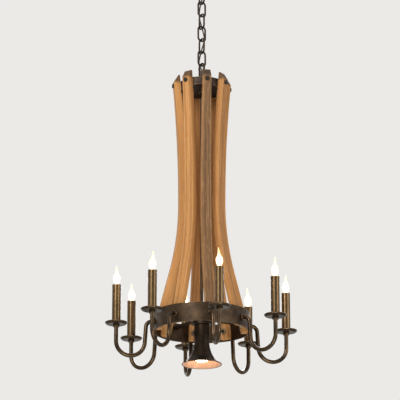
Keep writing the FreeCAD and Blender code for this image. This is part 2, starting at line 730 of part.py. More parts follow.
def make_candles():
    nuts = new_body("arm_nuts")
    repeat_round(nuts, [add_nut(nuts, "nut_corner", "pipe_hole", "arm_seat", "YZ_Plane", "arm_z", back=True)])
    turned_set("drip_pans", [
        ("pipe_hole", "pan_z"), ("pan_floor", "pan_z"), ("pan_radius", "pan_rim_z"),
        ("pan_inner", "pan_rim_z"), ("pan_floor", "pan_top"), ("pipe_hole", "pan_top")],
        {1: ("pan_bend", 1), 3: ("pan_inner_bend", -1)})
    pan_nuts = new_body("pan_nuts")
    sketch = new_sketch(pan_nuts, "XY_Plane", lift="pan_top")
    draw_hexagon(sketch, "nut_corner", "candle_circle")
    draw_circle(sketch, "pipe_hole", "candle_circle")
    repeat_round(pan_nuts, [extrude(pan_nuts, sketch, "sheet.nut_thick")])
    turned_set("candle_sleeves", tube("sleeve_inner", "sleeve_radius", "pan_top", "sleeve_top"))
    turned_set("candle_sockets", [
        ("pipe_hole", "pan_nut_top"), ("post_radius", "pan_nut_top"), ("post_radius", "socket_foot"),
        ("socket_radius", "socket_foot"), ("socket_radius", "socket_top"), ("cavity_r", "socket_top"),
        ("cavity_r", "cavity_foot"), ("0", "cavity_foot"), ("0", "shank_clear"),
        ("pipe_hole", "shank_clear")])


def make_bulb(number):
    body = new_body(f"bulb_{number}", stand(number))
    sketch = new_sketch(body, "XZ_Plane", along="candle_circle")
    draw(sketch, [
        ("0", "base_foot"), ("base_radius", "base_foot"), ("base_radius", "neck_foot"),
        ("bulb_neck", "neck_foot"), ("bulb_radius", "belly_z"), ("bulb_waist_radius", "bulb_waist_z"),
        ("bulb_tip", "bulb_top"), ("0", "bulb_top")],
        {3: ("bulb_curve", 1), 4: ("bulb_curve", 1), 5: ("bulb_tip_curve", -1)})
    revolve(body, sketch)


def make_downlight():
    turned("downlight_fitter", tube("pipe_hole", "fitter_radius", "bell_top", "fitter_top"))
    turned("downlight_bell", [
        ("pipe_hole", "bell_ceiling"), ("bell_in_neck", "bell_ceiling"), ("bell_in_neck", "bell_bend_z"),
        ("bell_in_mouth", "bell_mouth_z"), ("bell_mouth", "bell_mouth_z"), ("bell_neck", "bell_bend_z"),
        ("bell_neck", "bell_top"), ("pipe_hole", "bell_top")],
        {2: ("bell_flare", 1), 4: ("bell_flare", -1)})
    turned("downlight_socket", [
        ("pipe_hole", "down_socket_top"), ("pipe_hole", "stem_clear"), ("0", "stem_clear"),
        ("0", "down_cavity_top"), ("down_cavity", "down_cavity_top"), ("down_cavity", "down_socket_foot"),
        ("down_socket_radius", "down_socket_foot"), ("down_socket_radius", "down_socket_top")])
    turned("downlight_bulb", [
        ("0", "down_end"), ("down_radius", "down_face_z"), ("down_neck", "down_neck_top"),
        ("down_base_radius", "down_neck_top"), ("down_base_radius", "down_base_top"), ("0", "down_base_top")],
        {0: ("down_face_curve", 1)})


make_ceiling_end()
for link in range(1, link_count + 1):
    make_link(link)
make_loop("hang_loop", "hang_eye_z", ("hang_foot", "hang_top"), ("hang_foot", "hang_bore_top"),
          ("hang_foot", "stem_top"))
make_cord()
make_stem()
make_crown()
for place in range(1, arm_count + 1):
    make_stave(place)
make_ring()
for place in range(1, arm_count + 1):
    make_arm(place)
make_candles()
for place in range(1, arm_count + 1):
    make_bulb(place)
make_downlight()

doc.recompute()
failed = [item.Name for item in doc.Objects if {"Invalid", "Error"} & set(item.State)]
failed += [item.Label for item in sub_parts if item.Shape.isNull() or not item.Shape.isValid()]
if failed:
    raise RuntimeError(f"not built: {failed}")

os.makedirs("parts", exist_ok=True)
for item in sub_parts:
    item.Shape.exportStep(f"parts/{item.Label}.step")
    print(item.Label, "solids", len(item.Shape.Solids), "volume", round(item.Shape.Volume))
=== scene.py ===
import bpy
import bmesh
import json
import math
from mathutils import Matrix, Vector, noise

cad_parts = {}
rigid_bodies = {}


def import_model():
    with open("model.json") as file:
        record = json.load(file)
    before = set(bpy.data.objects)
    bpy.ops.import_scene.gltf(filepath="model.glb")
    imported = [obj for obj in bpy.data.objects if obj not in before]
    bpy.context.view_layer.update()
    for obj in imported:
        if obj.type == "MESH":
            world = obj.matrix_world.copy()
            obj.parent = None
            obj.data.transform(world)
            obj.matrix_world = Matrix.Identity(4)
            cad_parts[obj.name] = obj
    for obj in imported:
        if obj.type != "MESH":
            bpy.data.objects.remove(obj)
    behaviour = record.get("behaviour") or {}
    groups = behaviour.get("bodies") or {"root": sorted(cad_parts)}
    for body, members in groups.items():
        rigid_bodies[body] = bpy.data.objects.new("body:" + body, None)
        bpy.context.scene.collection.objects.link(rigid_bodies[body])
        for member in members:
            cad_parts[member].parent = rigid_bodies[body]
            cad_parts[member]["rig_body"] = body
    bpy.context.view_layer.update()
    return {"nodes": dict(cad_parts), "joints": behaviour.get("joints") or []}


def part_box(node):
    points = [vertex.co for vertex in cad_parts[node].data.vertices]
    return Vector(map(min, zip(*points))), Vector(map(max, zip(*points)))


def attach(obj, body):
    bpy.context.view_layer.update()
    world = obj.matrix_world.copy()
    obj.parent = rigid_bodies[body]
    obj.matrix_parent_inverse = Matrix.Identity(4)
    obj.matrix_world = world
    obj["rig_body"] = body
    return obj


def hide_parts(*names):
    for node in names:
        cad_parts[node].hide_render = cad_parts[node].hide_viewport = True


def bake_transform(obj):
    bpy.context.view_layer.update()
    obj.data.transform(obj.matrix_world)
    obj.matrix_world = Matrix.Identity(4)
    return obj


# Barrel stave chandelier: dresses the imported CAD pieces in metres, in the CAD frame (z = 0 is the ceiling)
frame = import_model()
nodes = frame["nodes"]
armCount = 8
linkCount = 7
print("frame loaded:", len(nodes), "CAD nodes")


# Node helpers

def newGroup(name, inputs, outputs):
    tree = bpy.data.node_groups.new(name, "ShaderNodeTree")
    for label, kind, value in inputs:
        socket = tree.interface.new_socket(name=label, in_out="INPUT", socket_type=kind)
        if value is not None:
            socket.default_value = value
    for label, kind in outputs:
        tree.interface.new_socket(name=label, in_out="OUTPUT", socket_type=kind)
    return tree, tree.nodes.new("NodeGroupInput"), tree.nodes.new("NodeGroupOutput")


def feed(tree, socket, value):
    # links a socket, or sets it where the value is a plain one
    if isinstance(value, bpy.types.NodeSocket):
        tree.links.new(value, socket)
    else:
        socket.default_value = value


def put(tree, kind, **inputs):
    # a node with its own settings first, which start with "set_", then its inputs by number or by name
    node = tree.nodes.new(kind)
    for label, value in inputs.items():
        if label.startswith("set_"):
            setattr(node, label.removeprefix("set_"), value)
        elif label.startswith("input"):
            feed(tree, node.inputs[int(label.removeprefix("input"))], value)
        else:
            feed(tree, node.inputs[label.replace("_", " ")], value)
    return node


def calc(tree, operation, first, second=0.0, third=0.0):
    node = put(tree, "ShaderNodeMath", set_operation=operation, input0=first, input1=second, input2=third)
    return node.outputs[0]


def times(tree, value, factor):
    return calc(tree, "MULTIPLY", value, factor)


def blendColour(tree, amount, first, second):
    # the Mix node keeps its colour sockets behind those for values and vectors
    node = put(tree, "ShaderNodeMix", set_data_type="RGBA", input0=amount, input6=first, input7=second)
    return node.outputs[2]


def spread(tree, value, low, high, newLow=0.0, newHigh=1.0):
    node = put(tree, "ShaderNodeMapRange", Value=value, From_Min=low, From_Max=high,
               To_Min=newLow, To_Max=newHigh)
    return node.outputs[0]


def noiseValue(tree, coord, scale, detail=4.0, rough=0.55):
    node = put(tree, "ShaderNodeTexNoise", Vector=coord, Scale=scale, Detail=detail, Roughness=rough)
    return node.outputs[0]


def stretched(tree, coord, scale):
    node = put(tree, "ShaderNodeMapping", Vector=coord, Scale=scale)
    return node.outputs[0]


def group(tree, source, **inputs):
    node = tree.nodes.new("ShaderNodeGroup")
    node.node_tree = source
    for label, value in inputs.items():
        feed(tree, node.inputs[label], value)
    return node.outputs


def objectCoord(tree):
    return tree.nodes.new("ShaderNodeTexCoord").outputs["Object"]


def newFinish(name):
    finish = bpy.data.materials.new(name)
    finish.use_nodes = True
    tree = finish.node_tree
    return finish, tree, tree.nodes["Principled BSDF"]


def paint(tree, shader, **inputs):
    for label, value in inputs.items():
        feed(tree, shader.inputs[label.replace("_", " ")], value)


def roughen(tree, shader, height, strength, depth):
    bump = put(tree, "ShaderNodeBump", Height=height, Strength=strength, Distance=depth)
    paint(tree, shader, Normal=bump.outputs["Normal"])


# Camera and studio

camera = {
    "reach": 6.44,  # level distance to the middle of the ring
    "drop": 1.6115,  # height of the ring above the camera
    "azimuth": -11.3,
    "lookUp": 17.36,  # degrees above the horizon
    "aside": 0.05,  # degrees to the left of the middle
    "lens": 191.25,
    "sensor": 36.0,
    "farLimit": 100.0,
}


def addCamera():
    data = bpy.data.cameras.new("photoCamera")
    data.lens = camera["lens"]
    data.sensor_width = camera["sensor"]
    data.clip_end = camera["farLimit"]
    view = bpy.data.objects.new("photoCamera", data)
    bpy.context.scene.collection.objects.link(view)
    low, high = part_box("ring_band")
    turn = math.radians(camera["azimuth"])
    view.location = (math.sin(turn) * camera["reach"], -math.cos(turn) * camera["reach"],
                     (low.z + high.z) / 2.0 - camera["drop"])
    view.rotation_euler = (math.radians(90.0 + camera["lookUp"]), 0.0, turn + math.radians(camera["aside"]))
    bpy.context.scene.camera = view


studio = {
    "floorHeight": -3.4,
    "floorRadius": 8.0,
    "floorSides": 96,
    "floorRough": 0.85,
    "floorColour": (0.80, 0.79, 0.77, 1.0),
    "backColour": (0.83, 0.82, 0.80, 1.0),
    "ambientColour": (1.0, 0.99, 0.97, 1.0),
    "ambient": 0.42,
    "lamps": {  # place, aim, width, power
        "keyLamp": ((-2.6, -3.0, 0.9), (0.0, 0.0, -0.9), 2.4, 120.0),
        "fillLamp": ((3.2, -2.4, -0.4), (0.0, 0.0, -0.9), 2.6, 55.0),
        "lowLamp": ((-0.4, -3.2, -3.0), (0.0, 0.0, -1.1), 2.2, 65.0),
        "rimLamp": ((0.8, 3.4, 0.6), (0.0, 0.0, -0.9), 2.2, 70.0),
    },
}


def addLamp(name, place, aim, width, power):
    data = bpy.data.lights.new(name, "AREA")
    data.shape = "DISK"
    data.size = width
    data.energy = power
    lamp = bpy.data.objects.new(name, data)
    bpy.context.scene.collection.objects.link(lamp)
    lamp.location = place
    lamp.rotation_euler = (Vector(aim) - Vector(place)).to_track_quat("-Z", "Y").to_euler()


def seenRay(tree):
    # 1 for camera, glossy and transmission rays, so metal and glass show the backdrop too
    path = tree.nodes.new("ShaderNodeLightPath")
    mask = path.outputs["Is Camera Ray"]
    for ray in ("Is Glossy Ray", "Is Transmission Ray"):
        mask = calc(tree, "MAXIMUM", mask, path.outputs[ray])
    return mask


def addWorld():
    world = bpy.data.worlds.new("studioWorld")
    world.use_nodes = True
    bpy.context.scene.world = world
    tree = world.node_tree
    tree.nodes.clear()
    ambient = put(tree, "ShaderNodeBackground", Color=studio["ambientColour"], Strength=studio["ambient"])
    back = put(tree, "ShaderNodeBackground", Color=studio["backColour"])
    pick = put(tree, "ShaderNodeMixShader", Fac=seenRay(tree), input1=ambient.outputs[0],
               input2=back.outputs[0])
    put(tree, "ShaderNodeOutputWorld", Surface=pick.outputs[0])


def addFloor():
    bm = bmesh.new()
    bmesh.ops.create_circle(bm, cap_ends=True, segments=studio["floorSides"], radius=studio["floorRadius"])
    bmesh.ops.translate(bm, vec=(0.0, 0.0, studio["floorHeight"]), verts=bm.verts)
    mesh = bpy.data.meshes.new("studioFloor")
    bm.to_mesh(mesh)
    bm.free()
    finish, tree, shader = newFinish("studioFloor")
    paint(tree, shader, Base_Color=studio["floorColour"], Roughness=studio["floorRough"])
    mesh.materials.append(finish)
    floor = bpy.data.objects.new("studioFloor", mesh)
    bpy.context.scene.collection.objects.link(floor)


addCamera()
addWorld()
addFloor()
for lampName, lampSetting in studio["lamps"].items():
    addLamp(lampName, *lampSetting)
bpy.context.scene.view_settings.view_transform = "Standard"
print("camera and studio ready")


# Effects that several finishes share

rubbed = {
    "width": 0.0015,
    "breakup": 220.0,
    "turn": (0.999, 0.93),  # cosine between the flat and the rounded normal, from no wear to full wear
    "patch": (0.38, 0.62),  # noise that breaks the wear into patches
    "samples": 6,
}


def makeEdgeWear():
    tree, entry, leave = newGroup(
        "edgeWear",
        [("Coord", "NodeSocketVector", None), ("Width", "NodeSocketFloat", rubbed["width"]),
         ("Breakup", "NodeSocketFloat", rubbed["breakup"])],
        [("Wear", "NodeSocketFloat")])
    rounded = put(tree, "ShaderNodeBevel", set_samples=rubbed["samples"], Radius=entry.outputs["Width"])
    flat = tree.nodes.new("ShaderNodeNewGeometry")
    angle = put(tree, "ShaderNodeVectorMath", set_operation="DOT_PRODUCT",
                input0=rounded.outputs["Normal"], input1=flat.outputs["Normal"])
    edge = spread(tree, angle.outputs["Value"], *rubbed["turn"])
    patch = noiseValue(tree, entry.outputs["Coord"], entry.outputs["Breakup"])
    patch = spread(tree, patch, *rubbed["patch"])
    feed(tree, leave.inputs["Wear"], calc(tree, "MULTIPLY", edge, patch))
    return tree


mottled = {
    "scale": 40.0,
    "fineScale": 7.0,  # these three are multiples of the scale
    "speckScale": 12.0,
    "gritScale": 22.0,
    "broadShare": 0.7,
    "fineShare": 0.3,
    "mottle": (0.36, 0.66),  # noise from the dark to the light patches
    "speck": (0.22, 0.08),  # distance from the middle of a speck
}


def makePatina():
    tree, entry, leave = newGroup(
        "bronzePatina",
        [("Coord", "NodeSocketVector", None), ("Scale", "NodeSocketFloat", mottled["scale"])],
        [("Mottle", "NodeSocketFloat"), ("Speck", "NodeSocketFloat"), ("Grit", "NodeSocketFloat")])
    coord = entry.outputs["Coord"]
    scale = entry.outputs["Scale"]
    broad = noiseValue(tree, coord, scale, detail=5.0, rough=0.6)
    fine = noiseValue(tree, coord, times(tree, scale, mottled["fineScale"]), detail=4.0, rough=0.65)
    mottle = calc(tree, "ADD", times(tree, broad, mottled["broadShare"]),
                  times(tree, fine, mottled["fineShare"]))
    speck = put(tree, "ShaderNodeTexVoronoi", Vector=coord, Scale=times(tree, scale, mottled["speckScale"]))
    grit = noiseValue(tree, coord, times(tree, scale, mottled["gritScale"]), detail=3.0)
    feed(tree, leave.inputs["Mottle"], spread(tree, mottle, *mottled["mottle"]))
    feed(tree, leave.inputs["Speck"], spread(tree, speck.outputs["Distance"], *mottled["speck"]))
    feed(tree, leave.inputs["Grit"], grit)
    return tree


grained = {
    "seedShift": (0.37, 0.21),  # how far the seed moves the grain across and inwards
    "ringStretch": (1.0, 0.55, 0.06),  # across the stave, inwards and down it
    "rings": {"Scale": 24.0, "Distortion": 7.0, "Detail": 4.0, "Detail_Scale": 1.3},
    # stretch, detail and roughness of the noise, and the part of it that shows
    "Fibre": ((900.0, 900.0, 16.0), 3.0, 0.6, None),
    "Pore": ((2100.0, 2100.0, 75.0), 2.0, 0.5, (0.62, 0.72)),
    "Stain": ((14.0, 14.0, 3.2), 5.0, 0.6, None),
    "Fleck": ((520.0, 420.0, 34.0), 2.0, 0.5, (0.56, 0.72)),
    "Streak": ((95.0, 80.0, 2.6), 5.0, 0.62, (0.43, 0.63)),
}


def makeStaveGrain():
    marks = ("Fibre", "Pore", "Stain", "Fleck", "Streak")
    tree, entry, leave = newGroup(
        "staveGrain",
        [("Coord", "NodeSocketVector", None), ("Seed", "NodeSocketFloat", 0.0)],
        [(label, "NodeSocketFloat") for label in ("Growth", *marks)])
    seed = entry.outputs["Seed"]
    across, inwards = grained["seedShift"]
    shift = put(tree, "ShaderNodeCombineXYZ", X=times(tree, seed, across), Y=times(tree, seed, inwards),
                Z=seed)
    moved = put(tree, "ShaderNodeVectorMath", set_operation="ADD", input0=entry.outputs["Coord"],
                input1=shift.outputs[0])
    coord = moved.outputs[0]
    # growth rings run down the stave and wander slowly from side to side
    rings = put(tree, "ShaderNodeTexWave", set_bands_direction="X",
                Vector=stretched(tree, coord, grained["ringStretch"]), **grained["rings"])
    feed(tree, leave.inputs["Growth"], rings.outputs["Fac"])
    for label in marks:
        stretch, detail, rough, shown = grained[label]
        value = noiseValue(tree, stretched(tree, coord, stretch), 1.0, detail, rough)
        if shown:
            value = spread(tree, value, *shown)
        feed(tree, leave.inputs[label], value)
    return tree


edgeWear = makeEdgeWear()
bronzePatina = makePatina()
staveGrain = makeStaveGrain()


# Finishes

bronze = {
    "worn": (0.42, 0.26, 0.135, 1.0),
    "metal": 0.92,
    "wearShare": 0.8,
    "wearSmooth": 0.4,  # worn edges are smoother than the skin
    "skin": (0.0, 0.8),  # grit from the smoothest to the roughest place
    "dentLevel": 0.22,
    # each finish: dark skin, brown shine, scale of the mottle, width of worn edges, range of
    # roughness, depth of dents, share of specks
    "tubeBronze": {
        "deep": (0.028, 0.019, 0.012, 1.0), "brown": (0.108, 0.067, 0.034, 1.0),
        "mottle": 38.0, "edge": 0.0016, "rough": (0.15, 0.27), "dent": 0.0001, "speck": 0.22,
    },
    "panBronze": {
        "deep": (0.020, 0.014, 0.009, 1.0), "brown": (0.088, 0.056, 0.029, 1.0),
        "mottle": 60.0, "edge": 0.0014, "rough": (0.20, 0.38), "dent": 0.0004, "speck": 0.30,
    },
    "sleeveBronze": {
        "deep": (0.068, 0.043, 0.020, 1.0), "brown": (0.138, 0.084, 0.038, 1.0),
        "mottle": 11.0, "edge": 0.0012, "rough": (0.17, 0.23), "dent": 0.00004, "speck": 0.08,
    },
    "chainBronze": {
        "deep": (0.016, 0.012, 0.010, 1.0), "brown": (0.060, 0.040, 0.026, 1.0),
        "mottle": 95.0, "edge": 0.0014, "rough": (0.30, 0.54), "dent": 0.0004, "speck": 0.35,
    },
    "bellBronze": {
        "deep": (0.020, 0.015, 0.012, 1.0), "brown": (0.070, 0.046, 0.029, 1.0),
        "mottle": 32.0, "edge": 0.0014, "rough": (0.26, 0.46), "dent": 0.0003, "speck": 0.35,
    },
    "crownBronze": {
        "deep": (0.014, 0.011, 0.009, 1.0), "brown": (0.052, 0.035, 0.024, 1.0),
        "mottle": 40.0, "edge": 0.0016, "rough": (0.34, 0.58), "dent": 0.0004, "speck": 0.35,
    },
}


def bronzeFinish(name):
    tone = bronze[name]
    finish, tree, shader = newFinish(name)
    coord = objectCoord(tree)
    patina = group(tree, bronzePatina, Coord=coord, Scale=tone["mottle"])
    wear = group(tree, edgeWear, Coord=coord, Width=tone["edge"])["Wear"]
    colour = blendColour(tree, patina["Mottle"], tone["deep"], tone["brown"])
    colour = blendColour(tree, times(tree, patina["Speck"], tone["speck"]), colour, tone["deep"])
    colour = blendColour(tree, times(tree, wear, bronze["wearShare"]), colour, bronze["worn"])
    skin = calc(tree, "SUBTRACT", patina["Grit"], times(tree, wear, bronze["wearSmooth"]))
    paint(tree, shader, Base_Color=colour, Metallic=bronze["metal"],
          Roughness=spread(tree, skin, *bronze["skin"], *tone["rough"]))
    roughen(tree, shader, patina["Mottle"], bronze["dentLevel"], tone["dent"])
    return finish


strap = {
    "deep": (0.022, 0.0138, 0.0078, 1.0),
    "brown": (0.082, 0.0505, 0.0270, 1.0),
    "rust": (0.090, 0.042, 0.018, 1.0),
    "metal": 0.85,
    "mottle": 26.0,
    "edge": 0.002,
    "wearShare": 0.45,
    "rustScale": 17.0,
    "rustPatch": (0.56, 0.70),
    "rustShare": 0.55,
    "scratchStretch": (40.0, 40.0, 1500.0),
    "scratchPart": (0.62, 0.8),
    "scratchShare": 0.25,
    "skin": (0.2, 1.5),
    "rough": (0.34, 0.62),
    "bump": (0.25, 0.0005),  # strength and depth
}


def bandFinish():
    # rolled strap steel with a rubbed dark brown skin, thin rust and short scratches round the ring
    finish, tree, shader = newFinish("bandSteel")
    coord = objectCoord(tree)
    patina = group(tree, bronzePatina, Coord=coord, Scale=strap["mottle"])
    wear = group(tree, edgeWear, Coord=coord, Width=strap["edge"])["Wear"]
    scratch = noiseValue(tree, stretched(tree, coord, strap["scratchStretch"]), 1.0, detail=2.0)
    rust = noiseValue(tree, coord, strap["rustScale"], detail=6.0, rough=0.7)
    rust = spread(tree, rust, *strap["rustPatch"])
    shine = spread(tree, scratch, *strap["scratchPart"], 0.0, strap["scratchShare"])
    colour = blendColour(tree, patina["Mottle"], strap["deep"], strap["brown"])
    colour = blendColour(tree, times(tree, rust, strap["rustShare"]), colour, strap["rust"])
    colour = blendColour(tree, shine, colour, bronze["worn"])
    colour = blendColour(tree, times(tree, wear, strap["wearShare"]), colour, bronze["worn"])
    skin = calc(tree, "ADD", patina["Grit"], rust)
    paint(tree, shader, Base_Color=colour, Metallic=strap["metal"],
          Roughness=spread(tree, skin, *strap["skin"], *strap["rough"]))
    roughen(tree, shader, calc(tree, "ADD", patina["Mottle"], scratch), *strap["bump"])
    return finish


fittings = {
    "skin": (0.2, 0.8),
    # each finish: dark and light tone, scale of the mottle, metal, range of roughness; where it has
    # them, width, share and colour of worn edges, and strength and depth of the bump
    "zincPlate": {
        "dark": (0.20, 0.175, 0.13, 1.0), "light": (0.33, 0.30, 0.23, 1.0),
        "mottle": 90.0, "metal": 1.0,
        "rough": (0.26, 0.46), "wear": (0.0008, 0.5, (0.52, 0.49, 0.42, 1.0)), "bump": (0.12, 0.0002),
    },
    "blackSteel": {
        "dark": (0.020, 0.018, 0.017, 1.0), "light": (0.060, 0.048, 0.040, 1.0),
        "mottle": 120.0, "metal": 0.9,
        "rough": (0.32, 0.55), "wear": (0.0009, 0.7, (0.34, 0.29, 0.24, 1.0)), "bump": (0.2, 0.0002),
    },
    "lampBrass": {
        "dark": (0.62, 0.44, 0.19, 1.0), "light": (0.80, 0.62, 0.31, 1.0),
        "mottle": 150.0, "metal": 1.0,
        "rough": (0.2, 0.4),
    },
    "socketPlastic": {
        "dark": (0.030, 0.026, 0.023, 1.0), "light": (0.058, 0.050, 0.044, 1.0),
        "mottle": 180.0, "metal": 0.0,
        "rough": (0.38, 0.55), "bump": (0.15, 0.0001),
    },
}


def fittingFinish(name):
    tone = fittings[name]
    finish, tree, shader = newFinish(name)
    coord = objectCoord(tree)
    patina = group(tree, bronzePatina, Coord=coord, Scale=tone["mottle"])
    colour = blendColour(tree, patina["Mottle"], tone["dark"], tone["light"])
    if "wear" in tone:
        width, share, bare = tone["wear"]
        wear = group(tree, edgeWear, Coord=coord, Width=width)["Wear"]
        colour = blendColour(tree, times(tree, wear, share), colour, bare)
    paint(tree, shader, Base_Color=colour, Metallic=tone["metal"],
          Roughness=spread(tree, patina["Grit"], *fittings["skin"], *tone["rough"]))
    if "bump" in tone:
        roughen(tree, shader, patina["Grit"], *tone["bump"])
    return finish


oak = {
    # pale wood, dark rings and seed of each stave, from the front one round; the darker first and second
    # staves paint shade on their faces, and the lighter fifth stave paints lamplight on its inner face
    "tones": [
        # painted shade: the front stave's tones are darkened for the shade on its face
        ((0.272, 0.142, 0.058, 1.0), (0.100, 0.049, 0.021, 1.0), 1.3),
        # painted shade: the right-front stave's tones are darkened for the shade on its face
        ((0.570, 0.275, 0.092, 1.0), (0.250, 0.106, 0.033, 1.0), 4.9),
        ((0.670, 0.332, 0.113, 1.0), (0.335, 0.149, 0.047, 1.0), 7.7),
        ((0.665, 0.324, 0.109, 1.0), (0.320, 0.138, 0.043, 1.0), 11.2),
        # painted light: the back stave's tones are lifted for the lamplight on its inner face
        ((0.720, 0.352, 0.120, 1.0), (0.365, 0.160, 0.051, 1.0), 15.8),
        ((0.655, 0.320, 0.107, 1.0), (0.315, 0.136, 0.042, 1.0), 18.4),
        ((0.685, 0.337, 0.114, 1.0), (0.347, 0.153, 0.048, 1.0), 22.1),
        ((0.650, 0.318, 0.108, 1.0), (0.320, 0.140, 0.043, 1.0), 26.6),
    ],
    "pore": (0.075, 0.040, 0.020, 1.0),
    "fleckRubAndHighlight": (0.66, 0.41, 0.19, 1.0),  # light flecks, and rubbed edges that are also painted highlights along the lit arrises
    "sawn": (0.67, 0.340, 0.116, 1.0),  # fresh wood of the jointed sides and its dark grain
    "sawnRing": (0.36, 0.160, 0.050, 1.0),
    "inner": (0.120, 0.060, 0.028, 1.0),  # tint of the face that was wetted inside the barrel
    "chime": (0.040, 0.026, 0.018, 1.0),  # dark colour towards the top end
    # width of the light edges, partly real wear and partly painted highlight on the arrises
    "edge": 0.0036,
    "edgeBreakup": 90.0,
    # how much of a mark is seen, as a range of its noise and a largest share, or as a share alone
    "growth": (0.35, 1.0, 0.0, 0.70),
    "fibre": (0.35, 0.72, 0.0, 0.55),
    "stain": (0.48, 0.75, 0.0, 0.5),
    "sawnFibre": (0.38, 0.70),
    "streakShare": 0.62,
    "fleckShare": 0.30,
    "sawnStreak": 0.8,
    "sawnShare": 0.75,
    "sideShare": 0.60,
    "rubAndHighlightShare": 0.6,
    "poreShare": 0.6,
    "innerDepth": 0.0195,
    "innerFade": 0.003,
    "innerWander": 0.004,
    "innerShare": 0.05,
    "chimeDrop": 0.0245,
    "chimeFade": 0.010,
    "chimeWander": 0.010,
    "chimeShare": 0.80,
    "rough": (0.3, 0.8, 0.52, 0.74),
    "specular": 0.22,
    "ringHeight": 0.5,
    "poreHeight": 0.8,
    "bump": (0.38, 0.0007),
}


def oakFinish(number):
    pale, ring, seed = oak["tones"][number - 1]
    finish, tree, shader = newFinish(f"oakStave{number}")
    coord = put(tree, "ShaderNodeAttribute", set_attribute_name="staveCoord").outputs["Vector"]
    side = put(tree, "ShaderNodeAttribute", set_attribute_name="staveSide").outputs["Fac"]
    grain = group(tree, staveGrain, Coord=coord, Seed=seed)
    # on the staves this edge mask carries wear and painted highlights along the arrises
    wear = group(tree, edgeWear, Coord=coord, Width=oak["edge"], Breakup=oak["edgeBreakup"])["Wear"]
    parts = put(tree, "ShaderNodeSeparateXYZ", Vector=coord).outputs
    colour = blendColour(tree, spread(tree, grain["Growth"], *oak["growth"]), pale, ring)
    colour = blendColour(tree, spread(tree, grain["Fibre"], *oak["fibre"]), colour, ring)
    colour = blendColour(tree, times(tree, grain["Streak"], oak["streakShare"]), colour, ring)
    colour = blendColour(tree, times(tree, grain["Fleck"], oak["fleckShare"]), colour, oak["fleckRubAndHighlight"])
    colour = blendColour(tree, spread(tree, grain["Stain"], *oak["stain"]), colour, ring)
    # jointed sides
    sawnGrain = calc(tree, "MAXIMUM", spread(tree, grain["Fibre"], *oak["sawnFibre"]),
                     times(tree, grain["Streak"], oak["sawnStreak"]))
    sawn = blendColour(tree, times(tree, sawnGrain, oak["sawnShare"]), oak["sawn"], oak["sawnRing"])
    colour = blendColour(tree, times(tree, side, oak["sideShare"]), colour, sawn)
    # light edges: partly rubbed wear, partly painted highlight on the lit arrises
    colour = blendColour(tree, times(tree, wear, oak["rubAndHighlightShare"]), colour, oak["fleckRubAndHighlight"])
    # face that was inside the barrel
    depth = calc(tree, "ADD", parts["Y"], times(tree, grain["Fibre"], oak["innerWander"]))
    innerEnd = oak["innerDepth"] + oak["innerFade"]
    inner = spread(tree, depth, oak["innerDepth"], innerEnd, 0.0, oak["innerShare"])
    colour = blendColour(tree, inner, colour, oak["inner"])
    # darker towards the top end
    drop = calc(tree, "ADD", parts["Z"], times(tree, grain["Fibre"], oak["chimeWander"]))
    chimeEnd = oak["chimeDrop"] + oak["chimeFade"]
    chime = spread(tree, drop, chimeEnd, oak["chimeDrop"], 0.0, oak["chimeShare"])
    colour = blendColour(tree, chime, colour, oak["chime"])
    colour = blendColour(tree, times(tree, grain["Pore"], oak["poreShare"]), colour, oak["pore"])
    paint(tree, shader, Base_Color=colour, Roughness=spread(tree, grain["Fibre"], *oak["rough"]),
          Specular_IOR_Level=oak["specular"])
    raised = calc(tree, "ADD", grain["Fibre"], times(tree, grain["Growth"], oak["ringHeight"]))
    height = calc(tree, "SUBTRACT", raised, times(tree, grain["Pore"], oak["poreHeight"]))
    roughen(tree, shader, height, *oak["bump"])
    return finish


copper = {
    "dark": (0.62, 0.32, 0.19, 1.0),
    "light": (0.79, 0.46, 0.30, 1.0),
    "spot": (0.45, 0.22, 0.12, 1.0),
    "spotShare": 0.2,
    "metal": 0.45,
    "mottle": 55.0,
    "spunStretch": (20.0, 20.0, 1400.0),  # fine rings left by the spinning tool
    "rough": (0.3, 0.7, 0.30, 0.44),
    "bump": (0.1, 0.0002),
}


def copperFinish():
    # rubbed copper lining of the downlight bell
    finish, tree, shader = newFinish("copperLining")
    coord = objectCoord(tree)
    patina = group(tree, bronzePatina, Coord=coord, Scale=copper["mottle"])
    spun = noiseValue(tree, stretched(tree, coord, copper["spunStretch"]), 1.0, detail=2.0)
    colour = blendColour(tree, patina["Mottle"], copper["dark"], copper["light"])
    colour = blendColour(tree, times(tree, patina["Speck"], copper["spotShare"]), colour, copper["spot"])
    paint(tree, shader, Base_Color=colour, Metallic=copper["metal"],
          Roughness=spread(tree, spun, *copper["rough"]))
    roughen(tree, shader, spun, *copper["bump"])
    return finish


jacket = {
    "gap": (0.014, 0.011, 0.009, 1.0),
    "thread": (0.075, 0.052, 0.036, 1.0),
    "tint": (0.030, 0.024, 0.020, 1.0),
    "tintScale": 160.0,
    "tintPatch": (0.4, 0.7, 0.0, 0.4),
    "threadsRound": 6.0,
    "threadsAlong": 460.0,  # for each metre of cord
    "rough": (0.9, 0.68),
    "bump": (0.5, 0.0004),
}


